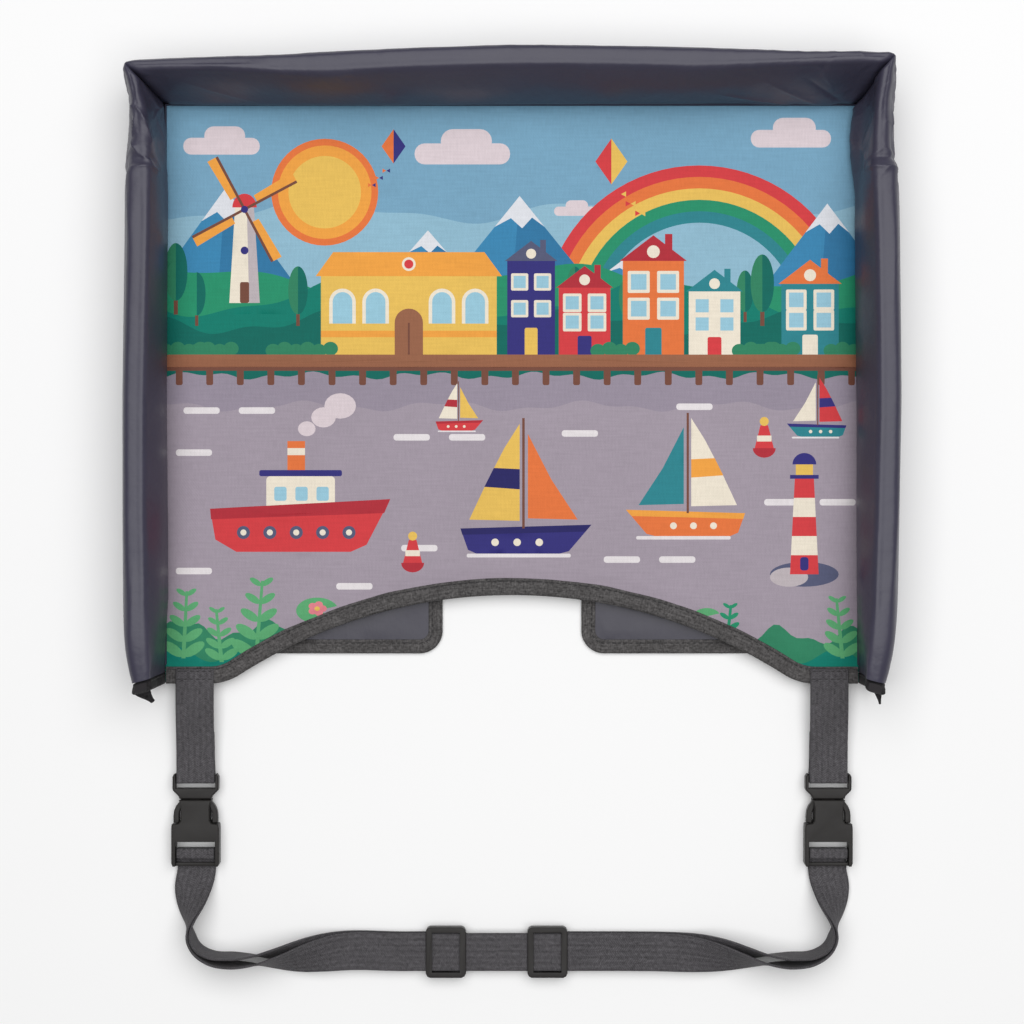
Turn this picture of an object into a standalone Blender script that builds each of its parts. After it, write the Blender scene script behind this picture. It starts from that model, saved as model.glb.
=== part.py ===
"""Kids travel tray: a padded lap tray with folding walls and a buckled waist belt.

Metres, +Z up, +Y towards the back wall and -Y towards the child. The origin is
the middle of the flat underside, so the tray stands on z = 0.
"""
import bpy
import bmesh
from math import asin, cos, pi, radians, sin, tan
from mathutils import Vector

# Clearances and cloth
GAP = 0.0003            # between two pieces that touch
WRAP_GAP = 0.00035      # webbing to the bar it goes round
LAYER_GAP = 0.0005      # between two layers of webbing
FLOOR_GAP = 0.00025     # webbing to the ground it lies on
CLOTH = 0.0008          # binding tape and covers
OVERRUN = 0.002         # how far a cutter passes the face it cuts

# Tray, in plan
TRAY_WIDTH = 0.363
BACK_Y = 0.118          # back edge, where the back wall folds
FRONT_Y = -0.1854       # outer face of the front binding
STEP_Y = -0.118         # the lap pad ends here, the flaps start
HORN_WIDTH = 0.0227     # straight stretch of the front edge beside each wall
BELLY_DEPTH = 0.0464
HORN_FILLET = 0.030
BOARD_SETBACK = 0.002
BINDING_LEG = 0.0082

# Tray, layer by layer from the ground
BOTTOM_CLOTH = 0.001
LAP_FOAM = 0.0036
BOARD = 0.0016
TOP_CLOTH = 0.0008
TOP_PAD = 0.0008

# Walls
WALL_INNER = 0.0004     # from the tray's edge to the wall's inner face
WALL_THICK = 0.013
WALL_BOTTOM = 0.001
WALL_TOP = 0.048
WALL_TOP_ROUND = 0.0050
WALL_BOTTOM_ROUND = 0.0030
WALL_CROWN = 0.0008
SEAM_LIFT = 0.0015      # fold line above the tray's top
CORNER_LEAN = 0.003
BACK_LEAN = 0.012
CORNER_CLOTH = 0.0414   # corner cloth without foam, so that the walls can fold
GUSSET_SAG = 0.0012
WALL_OVERHANG = 0.0026  # side walls pass the front edge
TAPER = 0.010
LIP = 0.005
LIP_THICK = 0.0050
END_TAPE = 0.0006

# Flaps under the front edge
FLAP_SIDE = 0.035       # from the tray's side to the flap
FLAP_WIDTH = 0.110
FLAP_DEPTH = 0.0515
FLAP_CORNER = 0.012
FLAP_CLOTH = 0.001
FLAP_TAPE = 0.00035
FLAP_TAPE_LEG = 0.0055
FLAP_HINGE_GAP = 0.0004

# Webbing
STRAP_WIDTH = 0.020
STRAP_THICK = 0.0011
STRAP_INSET = 0.0155    # from the tray's side to the strap's middle
STRAP_TAIL = 0.024      # doubled webbing behind the buckle
ANCHOR_LENGTH = 0.008
HINGE_REACH = 0.0008    # from the binding to where the strap bends
STRAP_FLAT = 0.009      # level stretch before the strap eases down
STRAP_EASE = 0.030

# Side-release buckles
MOUTH_Y = -0.2459       # where the two halves meet
SIDE_GAP = 0.00045      # webbing to the side rails
MOUTH_GAP = 0.0004
FEMALE_BOTTOM = 0.0004
FEMALE_HEIGHT = 0.0084
FEMALE_PLATE = 0.0018
FEMALE_RAIL = 0.00205
PLATE_LENGTH = 0.0130
WAIST_CUT = 0.0049
LEDGE = 0.0022
LEDGE_HALF = 0.0094
HOOK_LENGTH = 0.0040
HOOK_BITE = 0.0010
POCKET_GAP = 0.0006
TIP_GAP = 0.0012
POCKET_WALL = 0.0015
FEMALE_SLOT = 0.0047
MID_BAR = 0.0027
MID_BAR_HEIGHT = 0.0024
END_SLOT = 0.0039
END_BAR = 0.0017
END_BAR_HEIGHT = 0.0019
MALE_HEIGHT = 0.0060
MALE_RAIL = 0.0016
MALE_NECK_CUT = 0.0037
MALE_WALL = 0.0055
MALE_SLOT = 0.0044
MALE_BAR = 0.0017
MALE_BAR_HEIGHT = 0.0026
MALE_HORN = 0.0015
TONGUE_HALF = 0.0026
TONGUE_LENGTH = 0.017
TONGUE_GAP = 0.0006
PRONG_ROOT = 0.0030
PRONG_NECK = 0.0013
PRONG_GAP = 0.00035
BUCKLE_CHAMFER = 0.0005

# Belt and its two sliders
BELT_Y = -0.3264
TWIST_IN = 0.038
TWIST_HOLD = 0.024
TWIST_OUT = 0.071
SPREAD = 0.028          # stretch in which the two layers part
SLIDER_LEFT_X = -0.0347
SLIDER_RIGHT_X = 0.0186
SLIDER_LENGTH = 0.021
SLIDER_RAIL = 0.0028
SLIDER_END = 0.0032
SLIDER_BAR = 0.0030
SLIDER_BAR_HEIGHT = 0.0013
SLIDER_TOP = 0.0013
SLIDER_ROUND = 0.0022
SLIDER_CHAMFER = 0.0003
SLIDER_TAIL = 0.012

# Counts
BELLY_STEPS = 22
FILLET_STEPS = 4
WRAP_STEPS = 3
CORNER_STEPS = 3
ROUTE_STEPS = 6
BACK_STATIONS = 12
SIDE_STATIONS = 3

# Belt route from the buckle to the middle: shares of STRAP_X, and of the way
# from the buckle's end to the belt line
BELT_ROUTE_SHARES = [(1.0, 0.0), (1.014, 0.27), (1.024, 0.55), (1.018, 0.79), (0.994, 0.97),
                     (0.946, 1.09), (0.886, 1.13), (0.807, 1.125), (0.723, 1.09),
                     (0.602, 1.03), (0.482, 1.0), (0.361, 1.0), (0.180, 1.0), (0.0, 1.0)]
# Prong seen from above, outer side then inner side: shares of the female's half
# width, and of the length of its open plates
PRONG_OUTER_SHARES = [(0.66, 0.0), (0.69, 0.10), (0.82, 0.26), (0.905, 0.46),
                      (0.93, 0.68), (0.93, 0.95)]
PRONG_INNER_SHARES = [(0.70, 0.85), (0.69, 0.54), (0.58, 0.28), (0.46, 0.06)]
# Open plates of the female: shares of the waist cut and of the plates' length
WAIST_SHARES = [(0.82, 0.0), (0.90, 0.12), (1.0, 0.28), (1.0, 0.85), (0.80, 0.96), (0.05, 1.0)]
# Male base: shares of the neck cut and of the length of its solid wall
NECK_SHARES = [(1.0, 0.0), (0.86, 0.28), (0.10, 0.78), (0.0, 0.95)]

HALF_W = TRAY_WIDTH / 2
STRAP_X = HALF_W - STRAP_INSET
BELLY_HALF = HALF_W - HORN_WIDTH
BELLY_RADIUS = (BELLY_HALF ** 2 + BELLY_DEPTH ** 2) / (2 * BELLY_DEPTH) - HORN_FILLET
FLAP_INNER = HALF_W - FLAP_SIDE - FLAP_WIDTH
FOAM_Z = BOTTOM_CLOTH + GAP
FOAM_TOP = FOAM_Z + LAP_FOAM
BOARD_Z = FOAM_TOP + GAP
BOARD_TOP = BOARD_Z + BOARD
TOP_Z = BOARD_TOP + GAP
RIM_TOP = TOP_Z + TOP_CLOTH
PLAY_TOP = RIM_TOP + TOP_PAD
FRONT_PLATE_Z = FOAM_TOP - BOTTOM_CLOTH
BINDING_LOW = FRONT_PLATE_Z - GAP - CLOTH
BINDING_TOP = RIM_TOP + GAP + CLOTH
BINDING_WEB = CLOTH + GAP
FOLD_Z = BINDING_TOP + SEAM_LIFT - GAP
SIDE_REAR_Y = BACK_Y - CORNER_CLOTH
SIDE_FRONT_Y = FRONT_Y - WALL_OVERHANG
FLAP_TOP = BINDING_LOW - GAP
FLAP_STACK = FLAP_CLOTH + 2 * (FLAP_TAPE + GAP)
FLAP_Z = FLAP_TOP - FLAP_STACK
FLAP_BACK_Y = STEP_Y - FLAP_HINGE_GAP
HALF_STRAP = STRAP_WIDTH / 2
WRAP = WRAP_GAP + STRAP_THICK / 2
ANCHOR_Z = BINDING_TOP + GAP + STRAP_THICK / 2
SWING_Y = FRONT_Y - HINGE_REACH
WINDOW_HALF = HALF_STRAP + SIDE_GAP
FEMALE_HALF = WINDOW_HALF + FEMALE_RAIL
MALE_HALF = WINDOW_HALF + MALE_RAIL
BUCKLE_Z = FEMALE_BOTTOM + FEMALE_HEIGHT / 2
FEMALE_TOP = FEMALE_BOTTOM + FEMALE_HEIGHT
PLATES_END_Y = MOUTH_Y - PLATE_LENGTH
LEDGE_END_Y = PLATES_END_Y - LEDGE
POCKET_END_Y = LEDGE_END_Y - MOUTH_GAP - HOOK_LENGTH - TIP_GAP
SLOT_Y = POCKET_END_Y - POCKET_WALL
MID_BAR_Y = SLOT_Y - FEMALE_SLOT
END_SLOT_Y = MID_BAR_Y - MID_BAR
END_BAR_Y = END_SLOT_Y - END_SLOT
FEMALE_END_Y = END_BAR_Y - END_BAR
MALE_SLOT_Y = MOUTH_Y + MALE_WALL
MALE_BAR_Y = MALE_SLOT_Y + MALE_SLOT
MALE_BAR_END_Y = MALE_BAR_Y + MALE_BAR
MALE_END_Y = MALE_BAR_END_Y + MALE_HORN
LOW_Z = FLOOR_GAP + STRAP_THICK / 2
END_BAR_Z = FLOOR_GAP + 2 * STRAP_THICK + LAYER_GAP + WRAP_GAP
EXIT_Z = END_BAR_Z - WRAP
LAYER_STEP = STRAP_THICK + LAYER_GAP
EXIT_Y = FEMALE_END_Y - SLIDER_BAR / 2
SLIDER_Z = FLOOR_GAP + STRAP_THICK + WRAP_GAP
SLIDER_BAR_TOP = SLIDER_Z + SLIDER_BAR_HEIGHT
BELT_Z = SLIDER_BAR_TOP + 2 * WRAP_GAP + 3 * STRAP_THICK / 2
SLIDER_PLATE_Z = BELT_Z + WRAP
SLIDER_HALF = WINDOW_HALF + SLIDER_RAIL


def clear_scene():
    for thing in list(bpy.data.objects):
        bpy.data.objects.remove(thing, do_unlink=True)


def finish_of(name, colour, roughness, metallic=0.0):
    """A plain Principled material."""
    made = bpy.data.materials.new(name)
    made.use_nodes = True
    shader = made.node_tree.nodes["Principled BSDF"]
    shader.inputs["Base Color"].default_value = (*colour, 1.0)
    shader.inputs["Roughness"].default_value = roughness
    shader.inputs["Metallic"].default_value = metallic
    made.diffuse_color = (*colour, 1.0)
    return made


def smooth(x):
    """Eases from 0 to 1."""
    x = min(max(x, 0.0), 1.0)
    return x * x * (3 - 2 * x)


def mix(low, high, share):
    return low + (high - low) * share


def begin(origin):
    return bmesh.new(), Vector(origin)


def sheet(bm, base, rings, under=None):
    """Triangles between rings of points that all have the same count."""
    rows = [[bm.verts.new(Vector(point) - base) for point in ring] for ring in rings]
    for one, other in zip(rows, rows[1:]):
        wall_between(bm, one, other, under)
    return rows


def wall_between(bm, one, other, under=None):
    """A band from one ring to the next, every quad split along the same diagonal.

    From the side numbered under, a flat ribbon's quads are split the other way, so
    that its lower face bends like its upper one and layers keep their distance.
    """
    for i in range(len(one)):
        j = (i + 1) % len(one)
        if under is None or i < under:
            bm.faces.new((one[i], one[j], other[j]))
            bm.faces.new((one[i], other[j], other[i]))
        else:
            bm.faces.new((one[i], one[j], other[i]))
            bm.faces.new((one[j], other[j], other[i]))


def close_up(name, bm, base, finish):
    """Turns a finished bmesh into an object whose origin is at base."""
    mesh = bpy.data.meshes.new(name)
    bmesh.ops.recalc_face_normals(bm, faces=bm.faces)
    bm.to_mesh(mesh)
    bm.free()
    made = bpy.data.objects.new(name, mesh)
    made.location = base
    bpy.context.scene.collection.objects.link(made)
    if finish is None:
        made.hide_render = True
        made.display_type = "WIRE"
    else:
        mesh.materials.append(finish)
        mesh.shade_smooth()
        mesh.set_sharp_from_angle(angle=radians(35))
    return made


def skin(name, rings, finish=None, origin=(0, 0, 0), under=None):
    """A closed solid over rings, with a cap at each end. With no finish it is a tool."""
    bm, base = begin(origin)
    rows = sheet(bm, base, rings, under)
    bm.faces.new(rows[0])
    bm.faces.new(rows[-1])
    return close_up(name, bm, base, finish)


def shell(name, outer, inner, finish, origin, closed_end=False):
    """A cloth tube with a wall. It is open at its first ring, and at its last unless closed."""
    bm, base = begin(origin)
    outside = sheet(bm, base, outer)
    inside = sheet(bm, base, inner)
    wall_between(bm, outside[0], inside[0])
    if closed_end:
        bm.faces.new(outside[-1])
        bm.faces.new(inside[-1])
    else:
        wall_between(bm, outside[-1], inside[-1])
    return close_up(name, bm, base, finish)


def level_rings(outline, heights):
    """The same outline at each height."""
    return [[(x, y, z) for x, y in outline] for z in heights]


def box_rings(x_pair, y_pair, z_pair):
    left, right = x_pair
    low, high = y_pair
    corners = [(left, low), (right, low), (right, high), (left, high)]
    return level_rings(corners, z_pair)


def shape_with(target, tool, operation):
    """Adds one Boolean step."""
    step = target.modifiers.new(operation.title(), "BOOLEAN")
    step.operation = operation
    step.solver = "EXACT"
    step.object = tool


def grown(outline, distance):
    """A closed outline moved outwards along its mitres."""
    points = [Vector(point) for point in outline]
    area = sum(a.x * b.y - b.x * a.y for a, b in zip(points, points[1:] + points[:1]))
    turn = 1 if area > 0 else -1
    moved = []
    for before, here, after in zip(points[-1:] + points[:-1], points, points[1:] + points[:1]):
        first = (here - before).normalized()
        second = (after - here).normalized()
        normal = Vector((first.y + second.y, -first.x - second.x)) * turn
        normal.normalize()
        lean = normal.dot(Vector((first.y, -first.x)) * turn)
        moved.append(tuple(here + normal * distance / max(lean, 0.5)))
    return moved


def plate_rings(outline, low, high, chamfer):
    """A moulded plate: its edges are chamfered above and below."""
    small = grown(outline, -chamfer)
    return (level_rings(small, [low]) + level_rings(outline, [low + chamfer, high - chamfer])
            + level_rings(small, [high]))


def rounded(points, radius, steps):
    """A path whose corners become arcs."""
    points = [Vector(point) for point in points]
    path = [points[0]]
    for before, corner, after in zip(points, points[1:], points[2:]):
        back = (before - corner).normalized()
        ahead = (after - corner).normalized()
        half = back.angle(ahead) / 2
        middle = corner + (back + ahead).normalized() * radius / sin(half)
        first = corner + back * radius / tan(half) - middle
        last = corner + ahead * radius / tan(half) - middle
        for i in range(steps + 1):
            path.append(middle + first.lerp(last, i / steps).normalized() * radius)
    path.append(points[-1])
    return path


def front_line(half_width):
    """Points of the tray's front edge with their outward directions.

    Straight horns, a fillet on each side, and the arc that takes the child's belly.
    """
    angle = asin(BELLY_HALF / (BELLY_RADIUS + HORN_FILLET))
    belly_y = FRONT_Y - BELLY_RADIUS + BELLY_DEPTH
    line = [(Vector((-half_width, FRONT_Y)), Vector((0, -1)))]
    for i in range(FILLET_STEPS):
        turn = angle * i / FILLET_STEPS
        out = Vector((sin(turn), -cos(turn)))
        line.append((Vector((-BELLY_HALF, FRONT_Y + HORN_FILLET)) + out * HORN_FILLET, out))
    for i in range(BELLY_STEPS + 1):
        turn = angle * (1 - 2 * i / BELLY_STEPS)
        out = Vector((sin(turn), -cos(turn)))
        line.append((Vector((0, belly_y)) - out * BELLY_RADIUS, out))
    for i in range(FILLET_STEPS - 1, -1, -1):
        turn = angle * i / FILLET_STEPS
        out = Vector((-sin(turn), -cos(turn)))
        line.append((Vector((BELLY_HALF, FRONT_Y + HORN_FILLET)) + out * HORN_FILLET, out))
    line.append((Vector((half_width, FRONT_Y)), Vector((0, -1))))
    return line


def tray_outline(front_setback, side_setback):
    """The tray's plan, set back from the front binding's face and from the other edges."""
    half = HALF_W - side_setback
    outline = [tuple(point - out * front_setback) for point, out in front_line(half)]
    return outline + [(half, BACK_Y - side_setback), (-half, BACK_Y - side_setback)]


def folded_tape(line, leg, web, gap_z, low, high):
    """Rings of a tape folded over an edge: web thick in front, open behind.

    gap_z is the tape's thickness above and below.
    """
    rings = []
    for point, out in line:
        def at(back, z):
            x, y = point - out * back
            return (x, y, z)
        rings.append([at(leg, high), at(0, high), at(0, low), at(leg, low), at(leg, low + gap_z),
                      at(web, low + gap_z), at(web, high - gap_z), at(leg, high - gap_z)])
    return rings


def make_tray(finishes):
    """Printed top, stiff board, foam, underside and front binding."""
    edge = BINDING_WEB
    rim = tray_outline(edge, 0)
    play = tray_outline(BINDING_LEG + GAP, LAYER_GAP)
    skin("top_panel", level_rings(rim, [TOP_Z, RIM_TOP]) + level_rings(play, [RIM_TOP, PLAY_TOP]),
         finishes["printed cloth"])
    board = tray_outline(BINDING_LEG + BINDING_WEB, BOARD_SETBACK)
    skin("base_board", level_rings(board, [BOARD_Z, BOARD_TOP]), finishes["board"])
    half = HALF_W - BOARD_SETBACK
    foam = box_rings((-half, half), (STEP_Y + BOARD_SETBACK, BACK_Y - BOARD_SETBACK),
                     (FOAM_Z, FOAM_TOP))
    skin("lap_foam", foam, finishes["foam"])

    bottom = skin("bottom_panel", level_rings(rim, [0, BOARD_TOP]), finishes["underside cloth"])
    inner = HALF_W - CLOTH
    wide = HALF_W + OVERRUN
    front = FRONT_Y - OVERRUN
    above = BOARD_TOP + OVERRUN
    recess = skin("recess_cutter", box_rings((-wide, wide), (front, STEP_Y),
                                             (-OVERRUN, FRONT_PLATE_Z)))
    pocket = skin("foam_cutter", box_rings((-inner, inner), (STEP_Y + CLOTH, BACK_Y - CLOTH),
                                           (BOTTOM_CLOTH, above)))
    shelf = skin("board_cutter", box_rings((-inner, inner), (front, BACK_Y - CLOTH),
                                           (FOAM_TOP, above)))
    for tool in (recess, pocket, shelf):
        shape_with(bottom, tool, "DIFFERENCE")

    skin("front_binding", folded_tape(front_line(HALF_W - GAP), BINDING_LEG, CLOTH, CLOTH,
                                      BINDING_LOW, BINDING_TOP), finishes["binding tape"])


def wall_section(inset, thick, height):
    """Padded wall's section as (distance from the tray's edge, z), without its lean."""
    middle = WALL_INNER + WALL_THICK / 2
    half = thick / 2 - inset
    low = WALL_BOTTOM + inset
    high = WALL_BOTTOM + height - inset
    top_round = min(WALL_TOP_ROUND - inset, half * 0.9)
    low_round = min(WALL_BOTTOM_ROUND - inset, half * 0.9)
    crown = WALL_CROWN * thick / WALL_THICK
    corners = [(1, low, low_round, -90), (1, high, top_round, 0),
               (-1, high, top_round, 90), (-1, low, low_round, 180)]
    mids = [(half + crown, (low + high) / 2), (0, high + crown / 2),
            (-half - crown, (low + high) / 2), (0, low)]
    section = []
    for (side, level, radius, start), (mid_n, mid_z) in zip(corners, mids):
        centre_z = level + radius if level == low else level - radius
        for i in range(CORNER_STEPS + 1):
            angle = radians(start + 90 * i / CORNER_STEPS)
            section.append((middle + side * (half - radius) + radius * cos(angle),
                            centre_z + radius * sin(angle)))
        section.append((middle + mid_n, mid_z))
    return section


def leaned(section, lean):
    """Leans a wall outwards above its fold line."""
    rise = WALL_TOP - FOLD_Z
    return [(n + lean * max(z - FOLD_Z, 0) / rise, z) for n, z in section]


def back_place(s, n, z):
    return (s, BACK_Y + n, z)


def side_place(side):
    return lambda s, n, z: (side * (HALF_W + n), s, z)


def back_rings(inset):
    """Stations of the back wall, bowed outwards in the middle, mitred at its ends."""
    rings = []
    for i in range(BACK_STATIONS + 1):
        share = 2 * i / BACK_STATIONS - 1
        lean = mix(BACK_LEAN, CORNER_LEAN, share * share)
        section = leaned(wall_section(inset, WALL_THICK, WALL_TOP - WALL_BOTTOM), lean)
        rings.append([back_place(share * (HALF_W + n - GAP), n, z) for n, z in section])
    return rings


def side_rings(side, inset, stations):
    """Stations of a side wall: each is (y, thickness, height)."""
    place = side_place(side)
    rings = []
    for y, thick, height in stations:
        section = leaned(wall_section(inset, thick, height), CORNER_LEAN)
        rings.append([place(y, n, z) for n, z in section])
    return rings


def gusset_rings(side, inset):
    """Corner cloth from the end of the side wall's foam to the mitre, a little slack."""
    place = side_place(side)
    rings = []
    for i in range(SIDE_STATIONS + 1):
        share = i / SIDE_STATIONS
        slack = GUSSET_SAG * sin(pi * share)
        section = wall_section(inset, WALL_THICK - slack, WALL_TOP - WALL_BOTTOM - slack)
        section = leaned(section, CORNER_LEAN)
        start = SIDE_REAR_Y + GAP
        rings.append([place(mix(start, BACK_Y + n - GAP, share), n, z) for n, z in section])
    return rings


def make_walls(finishes):
    """Three padded walls, each a cloth cover over foam, and the corner cloth."""
    cloth = finishes["wall cloth"]
    core = CLOTH + GAP
    height = WALL_TOP - WALL_BOTTOM
    back_hinge = (0, BACK_Y, FOLD_Z)
    shell("back_wall_cover", back_rings(0), back_rings(CLOTH), cloth, back_hinge)
    skin("back_wall_core", back_rings(core), finishes["foam"], back_hinge)

    for word, side in (("left", -1), ("right", 1)):
        hinge = (side * HALF_W, 0, FOLD_Z)
        body_front = SIDE_FRONT_Y + LIP + TAPER
        steps = [mix(SIDE_REAR_Y, body_front, i / SIDE_STATIONS) for i in range(SIDE_STATIONS + 1)]
        body = [(y, WALL_THICK, height) for y in steps]
        waist = (SIDE_FRONT_Y + LIP + TAPER / 2, mix(LIP_THICK, WALL_THICK, 0.65),
                 height - WALL_CROWN)
        low = height - LIP / 2
        lip = [(SIDE_FRONT_Y + LIP, LIP_THICK, low), (SIDE_FRONT_Y, LIP_THICK, low)]
        inner_lip = [lip[0], (SIDE_FRONT_Y + CLOTH, LIP_THICK, low)]
        outer = side_rings(side, 0, body + [waist] + lip)
        inner = side_rings(side, CLOTH, body + [waist] + inner_lip)
        shell(f"{word}_wall_cover", outer, inner, cloth, hinge, closed_end=True)
        skin(f"{word}_wall_core", side_rings(side, core, body), finishes["foam"], hinge)

        place = side_place(side)
        middle = WALL_INNER + WALL_THICK / 2
        inside = (LIP_THICK / 2 + WALL_CROWN * LIP_THICK / WALL_THICK) + GAP
        outside = inside + END_TAPE
        back = SIDE_FRONT_Y + LIP
        front = SIDE_FRONT_Y - GAP
        rings = []
        for z in (WALL_BOTTOM + LIP / 2, WALL_BOTTOM + low / 2, WALL_BOTTOM + low):
            fold = [(outside, back), (outside, front - END_TAPE), (-outside, front - END_TAPE),
                    (-outside, back), (-inside, back), (-inside, front), (inside, front),
                    (inside, back)]
            lean = CORNER_LEAN * max(z - FOLD_Z, 0) / (WALL_TOP - FOLD_Z)
            rings.append([place(y, middle + n + lean, z) for n, y in fold])
        skin(f"{word}_wall_end_tape", rings, finishes["binding tape"], hinge)

        shell(f"{word}_corner_gusset", gusset_rings(side, 0), gusset_rings(side, CLOTH),
              cloth, (0, 0, 0))


def flap_line(side):
    """Edge of a flap from its back inner corner round to its back outer corner."""
    inner = FLAP_INNER
    outer = FLAP_INNER + FLAP_WIDTH
    front = FLAP_BACK_Y - FLAP_DEPTH
    line = [(Vector((side * inner, FLAP_BACK_Y - GAP)), Vector((-side, 0)))]
    for x, start in ((inner + FLAP_CORNER, 180), (outer - FLAP_CORNER, 270)):
        for i in range(FILLET_STEPS + 1):
            angle = radians(start + 90 * i / FILLET_STEPS)
            out = Vector((side * cos(angle), sin(angle)))
            line.append((Vector((side * x, front + FLAP_CORNER)) + out * FLAP_CORNER, out))
    line.append((Vector((side * outer, FLAP_BACK_Y - GAP)), Vector((side, 0))))
    return line


def make_flaps(finishes):
    """Two bound flaps that hang from the lap pad's front edge."""
    for word, side in (("left", -1), ("right", 1)):
        hinge = (0, FLAP_BACK_Y, FLAP_Z)
        line = flap_line(side)
        inset = FLAP_TAPE + GAP
        low = FLAP_Z + FLAP_TAPE + GAP
        panel = [tuple(point - out * inset) for point, out in line]
        skin(f"{word}_flap_panel", level_rings(panel, [low, low + FLAP_CLOTH]),
             finishes["wall cloth"], hinge)
        skin(f"{word}_flap_binding", folded_tape(line, FLAP_TAPE_LEG, FLAP_TAPE, FLAP_TAPE,
                                                 FLAP_Z, FLAP_TOP),
             finishes["binding tape"], hinge)


def ribbon(name, stations, finish, origin):
    """Flat webbing through stations of (centre, width direction, face direction)."""
    rings = []
    for centre, across, face in stations:
        side = across * HALF_STRAP
        lift = face * STRAP_THICK / 2
        rings.append([centre + side + lift, centre - side + lift,
                      centre - side - lift, centre + side - lift])
    return skin(name, rings, finish, origin, under=2)


def tangents(path):
    """Direction at each point of a path."""
    ends = zip([path[0]] + path[:-1], path[1:] + [path[-1]])
    return [(after - before).normalized() for before, after in ends]


def upright(path, side):
    """Stations of webbing that runs in the y-z plane at the strap's x."""
    across = Vector((side, 0, 0))
    return [(Vector((side * STRAP_X, y, z)), across, Vector((0, way.y, -way.x)))
            for (y, z), way in zip(path, tangents(path))]


def make_straps(finishes):
    """Strap ends sewn on the tray, and the straps down to the buckles."""
    for word, side in (("left", -1), ("right", 1)):
        x_pair = (side * STRAP_X - HALF_STRAP, side * STRAP_X + HALF_STRAP)
        low = ANCHOR_Z - STRAP_THICK / 2
        anchor = box_rings(x_pair, (FRONT_Y, FRONT_Y + ANCHOR_LENGTH), (low, low + STRAP_THICK))
        skin(f"{word}_strap_anchor", anchor, finishes["webbing"])

        over = BUCKLE_Z + MALE_BAR_HEIGHT / 2 + WRAP
        under = BUCKLE_Z - MALE_BAR_HEIGHT / 2 - WRAP
        turn_y = MALE_BAR_Y - WRAP

        def height(y):
            fall = smooth((SWING_Y - STRAP_FLAT - y) / STRAP_EASE)
            return mix(ANCHOR_Z, over, fall)

        spread = over - under - LAYER_STEP
        turned = rounded([(MALE_BAR_END_Y, over), (turn_y, over), (turn_y, under),
                          (MALE_BAR_END_Y, under)], WRAP, WRAP_STEPS)
        down = [Vector((y, height(y))) for y in
                (mix(SWING_Y, MALE_END_Y, i / 8) for i in range(8))]
        back = []
        for i in range(1, 6):
            y = MALE_BAR_END_Y + STRAP_TAIL * i / 5
            gap = LAYER_STEP + spread * (1 - smooth((y - MALE_BAR_END_Y) / (STRAP_TAIL / 2)))
            back.append(Vector((y, height(y) - gap)))
        ribbon(f"{word}_front_strap", upright(down + turned + back, side), finishes["webbing"],
               (side * STRAP_X, SWING_Y, ANCHOR_Z))


def both_sides(half, x):
    """Mirrors a half outline (x shares a middle line) and moves it to x."""
    right = [(x + px, py) for px, py in half]
    left = [(x - px, py) for px, py in half[::-1]]
    return right + left


def make_male(word, side, finishes):
    """Male half: a moulded base with a bar for the strap and a guide tongue."""
    x = side * STRAP_X
    neck = [(MALE_HALF - cut * MALE_NECK_CUT, MOUTH_Y + share * MALE_WALL)
            for cut, share in NECK_SHARES]
    horn = [(MALE_HALF, MALE_BAR_END_Y), (MALE_HALF - MALE_RAIL / 2, MALE_END_Y)]
    low = BUCKLE_Z - MALE_HEIGHT / 2
    high = BUCKLE_Z + MALE_HEIGHT / 2
    base = skin(f"{word}_buckle_male",
                plate_rings(both_sides(neck + horn, x), low, high, BUCKLE_CHAMFER),
                finishes["buckle"], (x, MOUTH_Y, BUCKLE_Z))
    window = skin(f"{word}_male_window_cutter",
                  box_rings((x - WINDOW_HALF, x + WINDOW_HALF),
                            (MALE_SLOT_Y, MALE_END_Y + OVERRUN), (low - OVERRUN, high + OVERRUN)))
    shape_with(base, window, "DIFFERENCE")
    reach = WINDOW_HALF + MALE_RAIL / 2
    bar = skin(f"{word}_male_bar_tool",
               box_rings((x - reach, x + reach), (MALE_BAR_Y, MALE_BAR_END_Y),
                         (BUCKLE_Z - MALE_BAR_HEIGHT / 2, BUCKLE_Z + MALE_BAR_HEIGHT / 2)))
    shape_with(base, bar, "UNION")
    cavity = FEMALE_HEIGHT / 2 - FEMALE_PLATE
    tongue_half = cavity - TONGUE_GAP
    tongue = skin(f"{word}_male_tongue_tool",
                  box_rings((x - TONGUE_HALF, x + TONGUE_HALF),
                            (MOUTH_Y - TONGUE_LENGTH, MOUTH_Y + MALE_WALL / 2),
                            (BUCKLE_Z - tongue_half, BUCKLE_Z + tongue_half)))
    shape_with(base, tongue, "UNION")


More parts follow.
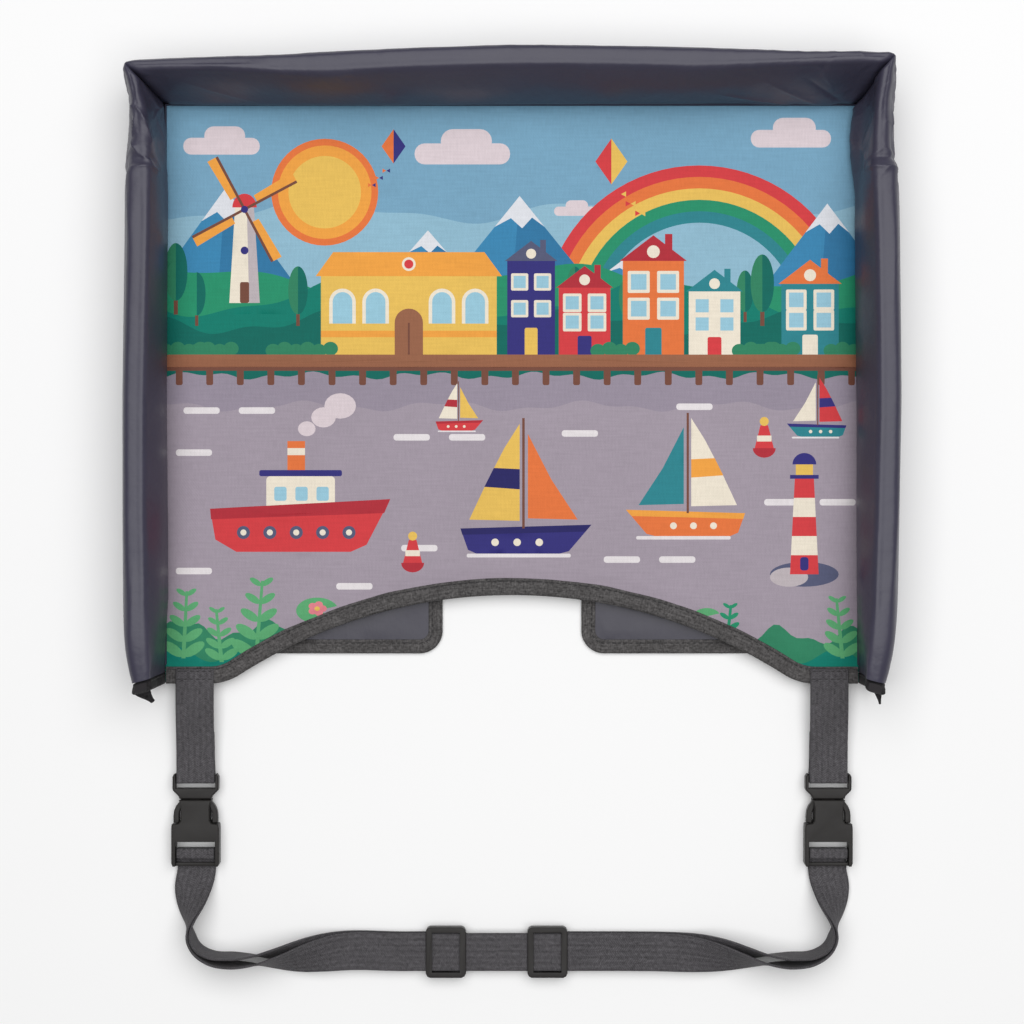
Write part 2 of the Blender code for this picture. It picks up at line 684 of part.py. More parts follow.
def make_prongs(word, side, finishes):
    """The two springy arms that are squeezed to let the buckle go."""
    half_height = FEMALE_HEIGHT / 2 - FEMALE_PLATE - GAP
    start_y = MOUTH_Y - PRONG_GAP
    length = PLATES_END_Y - start_y
    neck_y = PLATES_END_Y
    hook_y = LEDGE_END_Y - MOUTH_GAP
    tip_y = hook_y - HOOK_LENGTH
    neck_out = LEDGE_HALF - MOUTH_GAP
    neck_in = neck_out - PRONG_NECK
    outer = [(share * FEMALE_HALF, start_y + along * length)
             for share, along in PRONG_OUTER_SHARES]
    inner = [(share * FEMALE_HALF, start_y + along * length)
             for share, along in PRONG_INNER_SHARES]
    hook = [(neck_out, neck_y + GAP), (neck_out, hook_y), (LEDGE_HALF + HOOK_BITE, hook_y),
            (neck_out, tip_y), (neck_in - GAP, tip_y), (neck_in, hook_y)]
    half = outer + hook + [(neck_in, neck_y)] + inner
    for place, out in (("outer", side), ("inner", -side)):
        x = side * STRAP_X
        outline = [(x + out * px, py) for px, py in half]
        root = (x + out * (PRONG_OUTER_SHARES[0][0] * FEMALE_HALF - PRONG_ROOT / 2), start_y,
                BUCKLE_Z)
        skin(f"{word}_buckle_prong_{place}",
             plate_rings(outline, BUCKLE_Z - half_height, BUCKLE_Z + half_height, GAP),
             finishes["buckle"], root)


def make_female(word, side, finishes):
    """Female half: open plates for the arms, a latch ledge and three webbing bars."""
    x = side * STRAP_X
    waist = [(FEMALE_HALF - cut * WAIST_CUT, MOUTH_Y - MOUTH_GAP - share * (PLATE_LENGTH - GAP))
             for cut, share in WAIST_SHARES]
    tail = [(FEMALE_HALF, LEDGE_END_Y), (FEMALE_HALF, END_BAR_Y),
            (FEMALE_HALF - FEMALE_RAIL / 3, FEMALE_END_Y)]
    shell = skin(f"{word}_buckle_female",
                 plate_rings(both_sides(waist + tail, x), FEMALE_BOTTOM, FEMALE_TOP,
                             BUCKLE_CHAMFER),
                 finishes["buckle"], (x, MOUTH_Y, BUCKLE_Z))
    inside = (FEMALE_BOTTOM + FEMALE_PLATE, FEMALE_TOP - FEMALE_PLATE)
    through = (FEMALE_BOTTOM - OVERRUN, FEMALE_TOP + OVERRUN)
    pocket_half = LEDGE_HALF + HOOK_BITE + POCKET_GAP
    cuts = [("mouth", FEMALE_HALF + OVERRUN, (PLATES_END_Y, MOUTH_Y + OVERRUN), inside),
            ("ledge", LEDGE_HALF, (LEDGE_END_Y - GAP, PLATES_END_Y + OVERRUN), inside),
            ("pocket", pocket_half, (POCKET_END_Y, LEDGE_END_Y), inside),
            ("window", WINDOW_HALF, (FEMALE_END_Y - OVERRUN, SLOT_Y), through)]
    for part, half, y_pair, z_pair in cuts:
        tool = skin(f"{word}_female_{part}_cutter", box_rings((x - half, x + half), y_pair, z_pair))
        shape_with(shell, tool, "DIFFERENCE")
    reach = WINDOW_HALF + FEMALE_RAIL / 2
    mid_pair = (BUCKLE_Z - MID_BAR_HEIGHT / 2, BUCKLE_Z + MID_BAR_HEIGHT / 2)
    bars = [("mid", (END_SLOT_Y, MID_BAR_Y), mid_pair),
            ("end", (FEMALE_END_Y, END_BAR_Y), (END_BAR_Z, END_BAR_Z + END_BAR_HEIGHT))]
    for part, y_pair, z_pair in bars:
        tool = skin(f"{word}_female_{part}_bar_tool",
                    box_rings((x - reach, x + reach), y_pair, z_pair))
        shape_with(shell, tool, "UNION")


def route():
    """Belt's plan from the buckle to the middle, x counted outwards from the middle."""
    points = [Vector((x * STRAP_X, mix(EXIT_Y, BELT_Y, y))) for x, y in BELT_ROUTE_SHARES]
    straight = Vector((points[1].x, points[0].y * 2 - points[1].y))
    points = [straight] + points + [points[-1] * 2 - points[-2]]
    path = []
    for a, b, c, d in zip(points, points[1:], points[2:], points[3:]):
        for i in range(ROUTE_STEPS):
            t = i / ROUTE_STEPS
            path.append((b * 2 + (c - a) * t + (a * 2 - b * 5 + c * 4 - d) * t ** 2
                         + (b * 3 - a - c * 3 + d) * t ** 3) / 2)
    path.append(points[-2])
    return path


def belt_stations():
    """Stations of the belt's two layers on one side, x counted outwards.

    The webbing leaves the buckle flat, turns on its edge round the corner and
    flattens again, with the returning layer on its inner side.
    """
    path = route()
    ways = [Vector((0, -1))] + tangents(path)[1:]
    outer = []
    inner = []
    run = 0.0
    for i, (point, way) in enumerate(zip(path, ways)):
        if i:
            run += (point - path[i - 1]).length
        rising = smooth(run / TWIST_IN)
        falling = smooth((run - TWIST_IN - TWIST_HOLD) / TWIST_OUT)
        turn = pi / 2 * (rising - falling)
        apart = mix(EXIT_Z - LOW_Z, BELT_Z - LOW_Z, smooth((run - TWIST_IN) / SPREAD))
        out = Vector((-way.y, way.x, 0))
        up = Vector((0, 0, 1))
        across = out * cos(turn) - up * sin(turn)
        face = up * cos(turn) + out * sin(turn)
        z = FLOOR_GAP + HALF_STRAP * sin(turn) + (STRAP_THICK / 2 + apart) * cos(turn)
        centre = Vector((point.x, point.y, z))
        outer.append((centre, across, face))
        inner.append((centre - face * apart, across, face))
    return outer, inner


def buckle_loop():
    """Belt through the female half, from below up round the middle bar and out."""
    near = MID_BAR_Y + WRAP
    far = END_SLOT_Y - WRAP
    over = BUCKLE_Z + MID_BAR_HEIGHT / 2 + WRAP
    path = rounded([(EXIT_Y, LOW_Z), (near, LOW_Z), (near, over), (far, over),
                    (far, EXIT_Z), (EXIT_Y, EXIT_Z)], WRAP, WRAP_STEPS)
    return upright(path, 1)


def slider_loop(slider):
    """Returning layer round a slider's middle bar with its sewn tail, x outwards."""
    far = SLIDER_BAR / 2 + WRAP
    over = SLIDER_BAR_TOP + WRAP
    tail_z = LOW_Z + LAYER_STEP
    path = rounded([(slider + SLIDER_TAIL + far, LOW_Z), (slider - far, LOW_Z),
                    (slider - far, over), (slider + far, over),
                    (slider + far + over - tail_z, tail_z), (slider + SLIDER_TAIL, tail_z)],
                   WRAP, WRAP_STEPS)
    return [(Vector((x, BELT_Y, z)), Vector((0, -1, 0)), Vector((way.y, 0, -way.x)))
            for (x, z), way in zip(path, tangents(path))]


def on_side(stations, side):
    """Moves stations from the outward frame to the left or the right."""
    flip = Vector((side, 1, 1))
    return [tuple(vector * flip for vector in station) for station in stations]


def make_belt(finishes):
    """One webbing belt through both buckles, and its two returning layers."""
    outer, inner = belt_stations()
    webbing = finishes["webbing"]
    half = buckle_loop()[:-1] + outer
    left = on_side(half, -1)
    right = on_side(half, 1)
    ribbon("belt_webbing", left + right[-2::-1], webbing, (0, BELT_Y, BELT_Z))
    for word, side, slider in (("left", -1, -SLIDER_LEFT_X), ("right", 1, SLIDER_RIGHT_X)):
        loop = slider_loop(slider)
        start = loop[0][0].x
        lead = [station for station in inner if station[0].x > start + STRAP_THICK]
        first = lead[0]
        lead[0] = (first[0] - Vector((0, GAP, 0)), first[1], first[2])
        layer = on_side(lead + loop, side)[::-side]
        ribbon(f"{word}_return_webbing", layer, webbing, (0, BELT_Y, LOW_Z))


def make_slider(word, x, finishes):
    """Flat slider: two side rails, an end bar on top at each end, a middle bar below."""
    half = SLIDER_LENGTH / 2
    cut = SLIDER_ROUND / 3
    corner = [(half - SLIDER_ROUND, SLIDER_HALF), (half - cut, SLIDER_HALF - cut),
              (half, SLIDER_HALF - SLIDER_ROUND)]
    quarter = corner + [(px, -py) for px, py in corner[::-1]]
    outline = [(x + px, BELT_Y + py) for px, py in quarter]
    outline += [(x - px, BELT_Y + py) for px, py in quarter[::-1]]
    top = SLIDER_PLATE_Z + SLIDER_TOP
    frame = skin(f"{word}_slider", plate_rings(outline, SLIDER_Z, top, SLIDER_CHAMFER),
                 finishes["buckle"], (x, BELT_Y, SLIDER_PLATE_Z))
    y_pair = (BELT_Y - WINDOW_HALF, BELT_Y + WINDOW_HALF)
    tunnel = skin(f"{word}_slider_tunnel_cutter",
                  box_rings((x - half - OVERRUN, x + half + OVERRUN), y_pair,
                            (SLIDER_Z - OVERRUN, SLIDER_PLATE_Z)))
    shape_with(frame, tunnel, "DIFFERENCE")
    open_half = half - SLIDER_END
    window = skin(f"{word}_slider_window_cutter",
                  box_rings((x - open_half, x + open_half), y_pair,
                            (SLIDER_PLATE_Z - SLIDER_TOP, top + OVERRUN)))
    shape_with(frame, window, "DIFFERENCE")
    reach = WINDOW_HALF + SLIDER_RAIL / 2
    bar = skin(f"{word}_slider_bar_tool",
               box_rings((x - SLIDER_BAR / 2, x + SLIDER_BAR / 2), (BELT_Y - reach, BELT_Y + reach),
                         (SLIDER_Z + SLIDER_CHAMFER, SLIDER_BAR_TOP)))
    shape_with(frame, bar, "UNION")


def main():
    clear_scene()
    finishes = {
        "printed cloth": finish_of("printed_cloth", (0.22, 0.42, 0.48), 0.75),
        "underside cloth": finish_of("underside_cloth", (0.035, 0.035, 0.05), 0.8),
        "wall cloth": finish_of("wall_cloth", (0.065, 0.06, 0.09), 0.55),
        "binding tape": finish_of("binding_tape", (0.08, 0.073, 0.068), 0.9),
        "webbing": finish_of("webbing", (0.083, 0.076, 0.083), 0.85),
        "buckle": finish_of("buckle_plastic", (0.038, 0.036, 0.034), 0.45),
        "foam": finish_of("foam", (0.75, 0.74, 0.70), 0.95),
        "board": finish_of("board", (0.60, 0.58, 0.53), 0.7),
    }
    make_tray(finishes)
    make_walls(finishes)
    make_flaps(finishes)
    make_straps(finishes)
    for word, side in (("left", -1), ("right", 1)):
        make_male(word, side, finishes)
        make_prongs(word, side, finishes)
        make_female(word, side, finishes)
    make_belt(finishes)
    make_slider("left", SLIDER_LEFT_X, finishes)
    make_slider("right", SLIDER_RIGHT_X, finishes)


main()
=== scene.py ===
# %% [markdown]
# # A child's travel tray, dressed
#
# The tray is a padded lap panel with three soft walls, a front edge that is cut out for
# the belly, two small flaps, and a waist belt with two buckles. The hard frame comes from
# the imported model: every piece below is built around it, in metres, and never moves it.
# Each step says what the piece is, how it could be made, and why this way was chosen.

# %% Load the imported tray
from math import asin, cos, pi, radians, sin

import bmesh
import bpy
import numpy as np
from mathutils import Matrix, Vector, noise
from mathutils.geometry import delaunay_2d_cdt


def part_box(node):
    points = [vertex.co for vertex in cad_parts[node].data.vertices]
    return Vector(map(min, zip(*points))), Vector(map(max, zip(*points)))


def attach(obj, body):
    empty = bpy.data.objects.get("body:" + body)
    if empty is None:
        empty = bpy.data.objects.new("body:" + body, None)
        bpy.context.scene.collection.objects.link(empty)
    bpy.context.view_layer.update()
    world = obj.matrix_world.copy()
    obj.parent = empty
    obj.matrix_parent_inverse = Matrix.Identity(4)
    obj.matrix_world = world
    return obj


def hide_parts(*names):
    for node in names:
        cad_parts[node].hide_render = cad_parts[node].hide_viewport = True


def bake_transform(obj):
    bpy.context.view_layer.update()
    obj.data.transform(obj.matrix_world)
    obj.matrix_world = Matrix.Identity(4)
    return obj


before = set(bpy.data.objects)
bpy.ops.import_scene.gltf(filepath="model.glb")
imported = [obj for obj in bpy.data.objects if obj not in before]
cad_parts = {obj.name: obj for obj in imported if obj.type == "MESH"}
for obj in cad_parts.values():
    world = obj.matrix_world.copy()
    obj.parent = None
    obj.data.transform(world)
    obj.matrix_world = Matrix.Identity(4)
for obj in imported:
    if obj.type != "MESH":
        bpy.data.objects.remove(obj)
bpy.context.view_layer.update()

# %% [markdown]
# ## Sizes read from the frame
#
# A copied number goes stale when the model changes, so the main sizes are read from the
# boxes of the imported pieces. Only what a box can't tell, such as the radius of a fold, is
# typed here, in metres.

# %% Driving sizes
MM = 0.001
HALF_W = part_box("bottom_panel")[1].x
BACK_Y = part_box("bottom_panel")[1].y
STEP_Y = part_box("lap_foam")[0].y - 2 * MM
FRONT_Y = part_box("front_binding")[0].y
PANEL_LOW, PLAY_TOP = (corner.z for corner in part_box("top_panel"))
BINDING_LOW, BINDING_TOP = (corner.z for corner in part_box("front_binding"))
BINDING_LEG = 9.0 * MM
BELLY_DEPTH = 46.4 * MM
HORN_WIDTH = 22.7 * MM
HORN_FILLET = 30 * MM
BELLY_HALF = HALF_W - HORN_WIDTH
BELLY_RADIUS = (BELLY_HALF ** 2 + BELLY_DEPTH ** 2) / (2 * BELLY_DEPTH) - HORN_FILLET
FOLD_Z = BINDING_TOP + 1.2 * MM
SIDES = (("left", -1), ("right", 1))
print("half width", round(HALF_W, 4), "play surface at", round(PLAY_TOP, 4))

# %% [markdown]
# ## Camera, light and floor
#
# The photograph looks straight down from a little over a metre, with the light of a big
# softbox above. A perspective camera is needed, and not an orthographic one: it is what
# makes the inner faces of the walls show. A white world and one large lamp give the soft
# grey shadow that hugs the walls. The level is kept so that a colour renders as written.

# %% Camera, light and floor
CAMERA_HEIGHT = 1.15
VIEW_Y = -0.0954
FOCAL_SHARE = 2.129     # focal length over the picture's width
SENSOR = 36.0
FLOOR_DROP = 0.3 * MM
FLOOR_HALF = 15.0
PAPER_WHITE = (0.965, 0.965, 0.965, 1)
WORLD_LEVEL = 0.16
SOFTBOX_PLACE = (0.08, 0.25, 1.9)
SOFTBOX_SIZE = 2.6
SOFTBOX_WATTS = 50.5

scene = bpy.context.scene
scene.view_settings.view_transform = "Standard"


def add_object(name, data):
    made = bpy.data.objects.new(name, data)
    scene.collection.objects.link(made)
    return made


def put(tree, socket, value):
    """Links a socket to another one, or gives it a plain value."""
    if isinstance(value, bpy.types.NodeSocket):
        tree.links.new(value, socket)
    else:
        socket.default_value = value


def add_node(tree, kind, inputs=(), **settings):
    """A node with its settings, and its inputs by label or number."""
    node = tree.nodes.new(kind)
    for label, value in settings.items():
        setattr(node, label, value)
    for label, value in dict(inputs).items():
        put(tree, node.inputs[label], value)
    return node


def make_world():
    """White air: at a plain level on the tray, fully white where the camera sees it."""
    world = bpy.data.worlds.new("white_air")
    scene.world = world
    world.use_nodes = True
    tree = world.node_tree
    seen = add_node(tree, "ShaderNodeLightPath").outputs["Is Camera Ray"]
    level = add_node(tree, "ShaderNodeMapRange", {"Value": seen, "To Min": WORLD_LEVEL, "To Max": 1.0})
    air = tree.nodes["Background"].inputs
    put(tree, air["Color"], (1, 1, 1, 1))
    put(tree, air["Strength"], level.outputs["Result"])


def make_softbox():
    """A square lamp that faces the middle of the tray."""
    lamp = bpy.data.lights.new("overhead_softbox", "AREA")
    lamp.size = SOFTBOX_SIZE
    lamp.energy = SOFTBOX_WATTS
    made = add_object("overhead_softbox", lamp)
    made.location = SOFTBOX_PLACE
    aim = Vector((0, VIEW_Y, 0)) - Vector(SOFTBOX_PLACE)
    made.rotation_euler = aim.to_track_quat("-Z", "Y").to_euler()


def make_floor():
    mesh = bpy.data.meshes.new("floor")
    corners = [(x * FLOOR_HALF, y * FLOOR_HALF, -FLOOR_DROP) for x, y in ((-1, -1), (1, -1), (1, 1), (-1, 1))]
    mesh.from_pydata(corners, [], [(0, 1, 2, 3)])
    paper = bpy.data.materials.new("white_paper")
    paper.use_nodes = True
    shader = paper.node_tree.nodes["Principled BSDF"]
    shader.inputs["Base Color"].default_value = PAPER_WHITE
    shader.inputs["Roughness"].default_value = 0.9
    shader.inputs["Specular IOR Level"].default_value = 0.0
    mesh.materials.append(paper)
    add_object("floor", mesh)


camera_data = bpy.data.cameras.new("overhead_camera")
camera_data.sensor_width = SENSOR
camera_data.lens = SENSOR * FOCAL_SHARE
camera = add_object("overhead_camera", camera_data)
camera.location = (0, VIEW_Y, CAMERA_HEIGHT)
scene.camera = camera
make_softbox()
make_world()
make_floor()
print("camera at", tuple(round(v, 3) for v in camera.location), "lens", round(camera_data.lens, 1))

# %% [markdown]
# ## Helpers for shapes
#
# Cloth, tape and webbing are all rows of points: a tube is a row of closed rings, and a
# ribbon is a tube whose ring is flat. So one mesh maker serves them all. It takes an array
# of rings, gives the cloth a real thickness when asked, and writes a UV map in metres, so
# that a weave follows the cloth wherever it bends.

# %% Lines and rings
SMOOTH_ANGLE = 40
TINY = 1e-12


def ease(x):
    """Goes smoothly from 0 to 1."""
    x = np.clip(x, 0.0, 1.0)
    return x * x * (3 - 2 * x)


def mix(low, high, share):
    return low + (high - low) * share


def wobble(x, y, z, size, seed=0.0):
    """Smooth noise from -1 to 1; size is the length of one swell."""
    return noise.noise(Vector((x / size + seed, y / size - seed, z / size + seed)))


def waves(places, size, seed):
    """The wobble at each (x, y) place."""
    return np.array([wobble(x, y, 0, size, seed) for x, y in places])


def run_of(points):
    """Distance along a path, or along a tube of rings, to each of its points."""
    steps = np.linalg.norm(np.diff(points, axis=0), axis=-1)
    if steps.ndim > 1:
        steps = steps.mean(axis=1)
    return np.concatenate([[0.0], np.cumsum(steps)])


def unit(ways):
    return ways / (np.linalg.norm(ways, axis=-1, keepdims=True) + TINY)


def resample(points, count, closed=False):
    """Spreads points evenly along a path."""
    points = np.asarray(points, float)
    if closed:
        points = np.vstack([points, points[:1]])
    run = run_of(points)
    stops = np.linspace(0, run[-1], count + closed)[:count]
    return np.stack([np.interp(stops, run, axis) for axis in points.T], axis=1)


def sweep(line, outs, section):
    """Carries rings of (outwards, height) along a line in plan; outs point outwards."""
    section = np.broadcast_to(section, (len(line), *section.shape[-2:]))
    plan = line[:, None] + outs[:, None] * section[..., :1]
    return np.concatenate([plan, section[..., 1:]], axis=2)


def ring_normals(rings):
    """Unit normals of a tube of rings, pointing away from each ring's middle."""
    around = np.roll(rings, -1, axis=1) - np.roll(rings, 1, axis=1)
    normals = unit(np.cross(np.gradient(rings, axis=0), around))
    outward = rings - rings.mean(axis=1, keepdims=True)
    return normals * np.sign((normals * outward).sum())


def finer(rings):
    """Doubles a tube's rows and columns with a smooth curve through the old ones."""
    ahead = np.roll(rings, -1, axis=1)
    middle = (9 * (rings + ahead) - np.roll(rings, 1, axis=1) - np.roll(rings, -2, axis=1)) / 16
    wide = np.stack([rings, middle], axis=2).reshape(len(rings), -1, 3)
    padded = np.concatenate([2 * wide[:1] - wide[1:2], wide, 2 * wide[-1:] - wide[-2:-1]])
    rows = np.empty((2 * len(wide) - 1, *wide.shape[1:]))
    rows[0::2] = wide
    rows[1::2] = (9 * (wide[:-1] + wide[1:]) - padded[:-3] - padded[3:]) / 16
    return rows


def edge_distance(places, line):
    """Distance from each place to the nearest of a line's closely spaced points."""
    return np.min(np.linalg.norm(places[:, None, :] - line[None, :, :], axis=2), axis=1)


print("line helpers ready")

# %% Tubes and plates


def finish_mesh(name, verts, faces, corner_uv, material, angle=SMOOTH_ANGLE, shading=None):
    """A smooth-shaded object from plain lists, its faces turned outwards.

    shading may give a normal for every face corner, where a piece is cut from a longer one
    and has to look unbroken.
    """
    points = np.asarray(verts, float)
    volume = sum(np.dot(points[f[0]], np.cross(points[f[i]], points[f[i + 1]]))
                 for f in faces for i in range(1, len(f) - 1))
    if volume < 0:
        ends = np.cumsum([len(face) for face in faces])
        turned = [i for face, end in zip(faces, ends) for i in range(end - 1, end - len(face) - 1, -1)]
        corner_uv = [corner_uv[i] for i in turned]
        shading = shading and [shading[i] for i in turned]
        faces = [face[::-1] for face in faces]
    mesh = bpy.data.meshes.new(name)
    mesh.from_pydata([tuple(v) for v in verts], [], faces)
    layer = mesh.uv_layers.new(name="cloth")
    layer.data.foreach_set("uv", np.asarray(corner_uv, np.float32).ravel())
    mesh.materials.append(material)
    mesh.shade_smooth()
    if shading is not None:
        mesh.normals_split_custom_set(shading)
    else:
        mesh.set_sharp_from_angle(angle=radians(angle))
    return add_object(name, mesh)


def tube(name, rings, material, thickness=0.0, caps=(True, True), normals=None, start=0.0,
         angle=SMOOTH_ANGLE):
    """A closed piece from rings of points.

    With no thickness it is solid, with a cap at each end. With a thickness it is a cloth
    sleeve, with an inner layer of every second point, and an end without a cap stays open.
    """
    rows, count, _ = rings.shape
    run = start + run_of(rings)
    way_round = run_of(np.concatenate([rings[rows // 2], rings[rows // 2][:1]]))
    away = ring_normals(rings) if normals is None else normals
    layers = [(rings, away, 1)]
    if thickness:
        layers.append(((rings - away * thickness)[:, ::2], -away[:, ::2], 2))
    verts = np.concatenate([layer.reshape(-1, 3) for layer, _, _ in layers])
    faces, uvs, shading = [], [], []
    base = 0
    for layer, shade, skip in layers:
        wide = layer.shape[1]
        for r, c in np.ndindex(rows - 1, wide):
            d = (c + 1) % wide
            corners = [(r, c, c), (r, d, c + 1), (r + 1, d, c + 1), (r + 1, c, c)]
            corners = corners if skip == 1 else corners[::-1]
            faces.append([base + row * wide + column for row, column, _ in corners])
            uvs += [(run[row], way_round[place * skip]) for row, _, place in corners]
            shading += [tuple(shade[row, column]) for row, column, _ in corners]
        base += rows * wide
    for end, row in enumerate((0, rows - 1)):
        rim = [row * count + c for c in range(count)]
        hem = [rows * count + row * (count // 2) + k for k in range(count // 2)]
        if thickness and not caps[end]:
            loops = [[rim[(2 * k + 2) % count], rim[2 * k + 1], rim[2 * k], hem[k], hem[(k + 1) % len(hem)]]
                     for k in range(len(hem))]
        else:
            loops = [rim[::-1], hem] if thickness else [rim[::-1]]
        for loop in loops:
            faces.append(loop if end == 0 else loop[::-1])
            uvs += [(run[row], 0.0)] * len(loop)
            shading += [(0.0, 0.0, 0.0)] * len(loop)
    return finish_mesh(name, verts, faces, uvs, material, angle, shading if thickness else None)


def cut_cloth(shapes, spacing, keep=0):
    """Cuts flat shapes out of each other, the later ones on top.

    Shapes are lists of (x, y). Returns the points, the triangles inside shape number
    keep, and for each triangle the number of the topmost shape that covers it.
    """
    points = []
    loops = []
    for outline in shapes:
        area = sum(a[0] * b[1] - b[0] * a[1] for a, b in zip(outline, outline[1:] + outline[:1]))
        turned = outline if area > 0 else outline[::-1]
        loops.append(list(range(len(points), len(points) + len(turned))))
        points += [Vector(p) for p in turned]
    corner = np.array(shapes[keep])
    low, high = corner.min(axis=0), corner.max(axis=0)
    for row, y in enumerate(np.arange(low[1] + spacing / 3, high[1], spacing * 0.87)):
        shift = spacing / 2 * (row % 2)
        points += [Vector((x, y)) for x in np.arange(low[0] + spacing / 3 + shift, high[0], spacing)]
    flat, _, tiles, _, _, owners = delaunay_2d_cdt(points, [], loops, 1, 1e-7, True)
    kept = [(tile, max(own)) for tile, own in zip(tiles, owners) if keep in own]
    used = sorted({v for tile, _ in kept for v in tile})
    renamed = {v: i for i, v in enumerate(used)}
    places = np.array([tuple(flat[v]) for v in used])
    return places, [[renamed[v] for v in tile] for tile, _ in kept], [own for _, own in kept]


def plate_between(name, places, tiles, low, high, material, angle=SMOOTH_ANGLE):
    """A closed plate over flat triangles, from heights low to heights high."""
    count = len(places)
    verts = np.concatenate([np.column_stack([places, high]), np.column_stack([places, low])])
    edges = {(a, b) for tile in tiles for a, b in zip(tile, tile[1:] + tile[:1])}
    faces = [list(tile) for tile in tiles] + [[v + count for v in tile[::-1]] for tile in tiles]
    faces += [[b, a, a + count, b + count] for a, b in edges if (b, a) not in edges]
    uvs = [verts[v][:2] for face in faces for v in face]
    return finish_mesh(name, verts, faces, uvs, material, angle)


def dress(piece, body, slot, *nodes):
    """The piece rides on a body and stands for CAD nodes, which it hides; slot is not used."""
    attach(piece, body)
    if nodes:
        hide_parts(*nodes)
    return piece


print("shape helpers ready")

# %% [markdown]
# ## Helpers for finishes
#
# Three effects come back in almost every finish: a weave, a ribbed tape and the uneven
# tone of handled goods. Each is a node group with named inputs, built once. The groups put
# out only heights and shades; the Principled shader and its plain numbers stay in each
# material, where an exporter can read them.

# %% Node helpers


class Nodes:
    """A node tree with short ways to add to it; values are sockets or plain numbers."""

    def __init__(self, tree, place):
        self.tree = tree
        self.place = place      # the coordinates that a pattern follows

    def calc(self, operation, *terms):
        return add_node(self.tree, "ShaderNodeMath", enumerate(terms), operation=operation).outputs[0]

    def gain(self, value, factor, base):
        return self.calc("MULTIPLY_ADD", value, factor, base)

    def sine(self, value, pitch, turn):
        return self.calc("SINE", self.calc("MULTIPLY", self.calc("DIVIDE", value, pitch), turn))

    def noise(self, scale, detail=2.0, roughness=0.5):
        """Soft noise; a scale of three numbers stretches it."""
        place = self.place
        if isinstance(scale, tuple):
            place = add_node(self.tree, "ShaderNodeVectorMath", {0: place, 1: scale},
                             operation="MULTIPLY").outputs[0]
            scale = 1.0
        return add_node(self.tree, "ShaderNodeTexNoise", {
            "Vector": place, "Scale": scale, "Detail": detail, "Roughness": roughness}).outputs["Fac"]

    def yarns(self, along, across, detail=2.0):
        """Two stretched noises that cross, around 0."""
        both = self.calc("ADD", self.noise(along, detail), self.noise(across, detail))
        return self.calc("SUBTRACT", both, 1.0)

    def split(self):
        return add_node(self.tree, "ShaderNodeSeparateXYZ", {0: self.place}).outputs[:2]


def make_group(name, recipe, **values):
    """A shader group over a Vector input; its recipe returns the outputs by name."""
    tree = bpy.data.node_groups.new(name, "ShaderNodeTree")
    tree.interface.new_socket(name="Vector", in_out="INPUT", socket_type="NodeSocketVector")
    for label, value in values.items():
        socket = tree.interface.new_socket(name=label, in_out="INPUT", socket_type="NodeSocketFloat")
        socket.default_value = value
    given = tree.nodes.new("NodeGroupInput").outputs
    results = recipe(Nodes(tree, given["Vector"]), given)
    for label in results:
        tree.interface.new_socket(name=label, in_out="OUTPUT", socket_type="NodeSocketFloat")
    add_node(tree, "NodeGroupOutput", results)
    return tree


print("node helpers ready")

# %% Groups for weave, ribs, handling and flecks


def weave(own, given):
    """Plain weave: the height of its crossing threads, and the shade of slubby yarn."""
    x, y = own.split()
    threads = own.calc("MULTIPLY", own.sine(x, given["Warp"], pi), own.sine(y, given["Weft"], pi))
    yarn = own.yarns((70, 900, 1), (1100, 160, 1))
    return {"Height": own.gain(threads, 0.5, 0.5), "Shade": own.gain(yarn, given["Slub"], 1.0)}


def ribs(own, given):
    """Narrow goods: cross ribs that run in chevrons, and the shade of single yarns."""
    x, y = own.split()
    zigzag = own.calc("PINGPONG", y, given["Chevron"])
    wave = own.sine(own.gain(zigzag, given["Slant"], x), given["Pitch"], 2 * pi)
    column = own.sine(zigzag, given["Chevron"], pi)
    return {"Height": own.gain(wave, 0.5, own.calc("MULTIPLY", column, 0.5)), "Column": column,
            "Yarn": own.noise((60, 900, 1))}


def handling(own, given):
    """Uneven tone and gloss of goods that have been folded and handled."""
    patches = own.calc("SUBTRACT", own.noise(given["Scale"], 4.0, 0.6), 0.5)
    return {"Tint": own.gain(patches, given["Tone"], 1.0),
            "Roughness": own.gain(patches, given["Spread"], given["Gloss"])}


def flecks(own, given):
    """Pale and dark fibres of a heathered yarn, as a shade around 1."""
    return {"Shade": own.gain(own.yarns((420, 1100, 1), (1200, 520, 1), 1.0), given["Depth"], 1.0)}


weave_group = make_group("plain_weave", weave, Warp=0.0006, Weft=0.0006, Slub=0.1)
ribs_group = make_group("ribbed_tape", ribs, Pitch=0.0012, Chevron=0.005, Slant=1.0)
handling_group = make_group("handling", handling, Scale=25.0, Tone=0.1, Gloss=0.5, Spread=0.1)
flecks_group = make_group("heather_flecks", flecks, Depth=0.5)
print("groups:", [g.name for g in bpy.data.node_groups])

# %% [markdown]
# ## Finishes
#
# The walls are a satin nylon that catches the light on its ridges; the picture is printed
# on a coarser, matt cloth; the bindings are a heathered tape; the webbing is a chevron
# weave; the buckles are moulded, slightly grained plastic. Colours are written as they
# look on screen and turned into linear light by one function.

# %% Colours and the finish builder
SHEEN_ROUGHNESS = 0.4


def ink(*screen):
    """A colour given as it looks on screen, 0 to 255, in linear light."""
    def linear(value):
        value /= 255
        return value / 12.92 if value <= 0.04045 else ((value + 0.055) / 1.055) ** 2.4
    return (*(linear(value) for value in screen), 1.0)


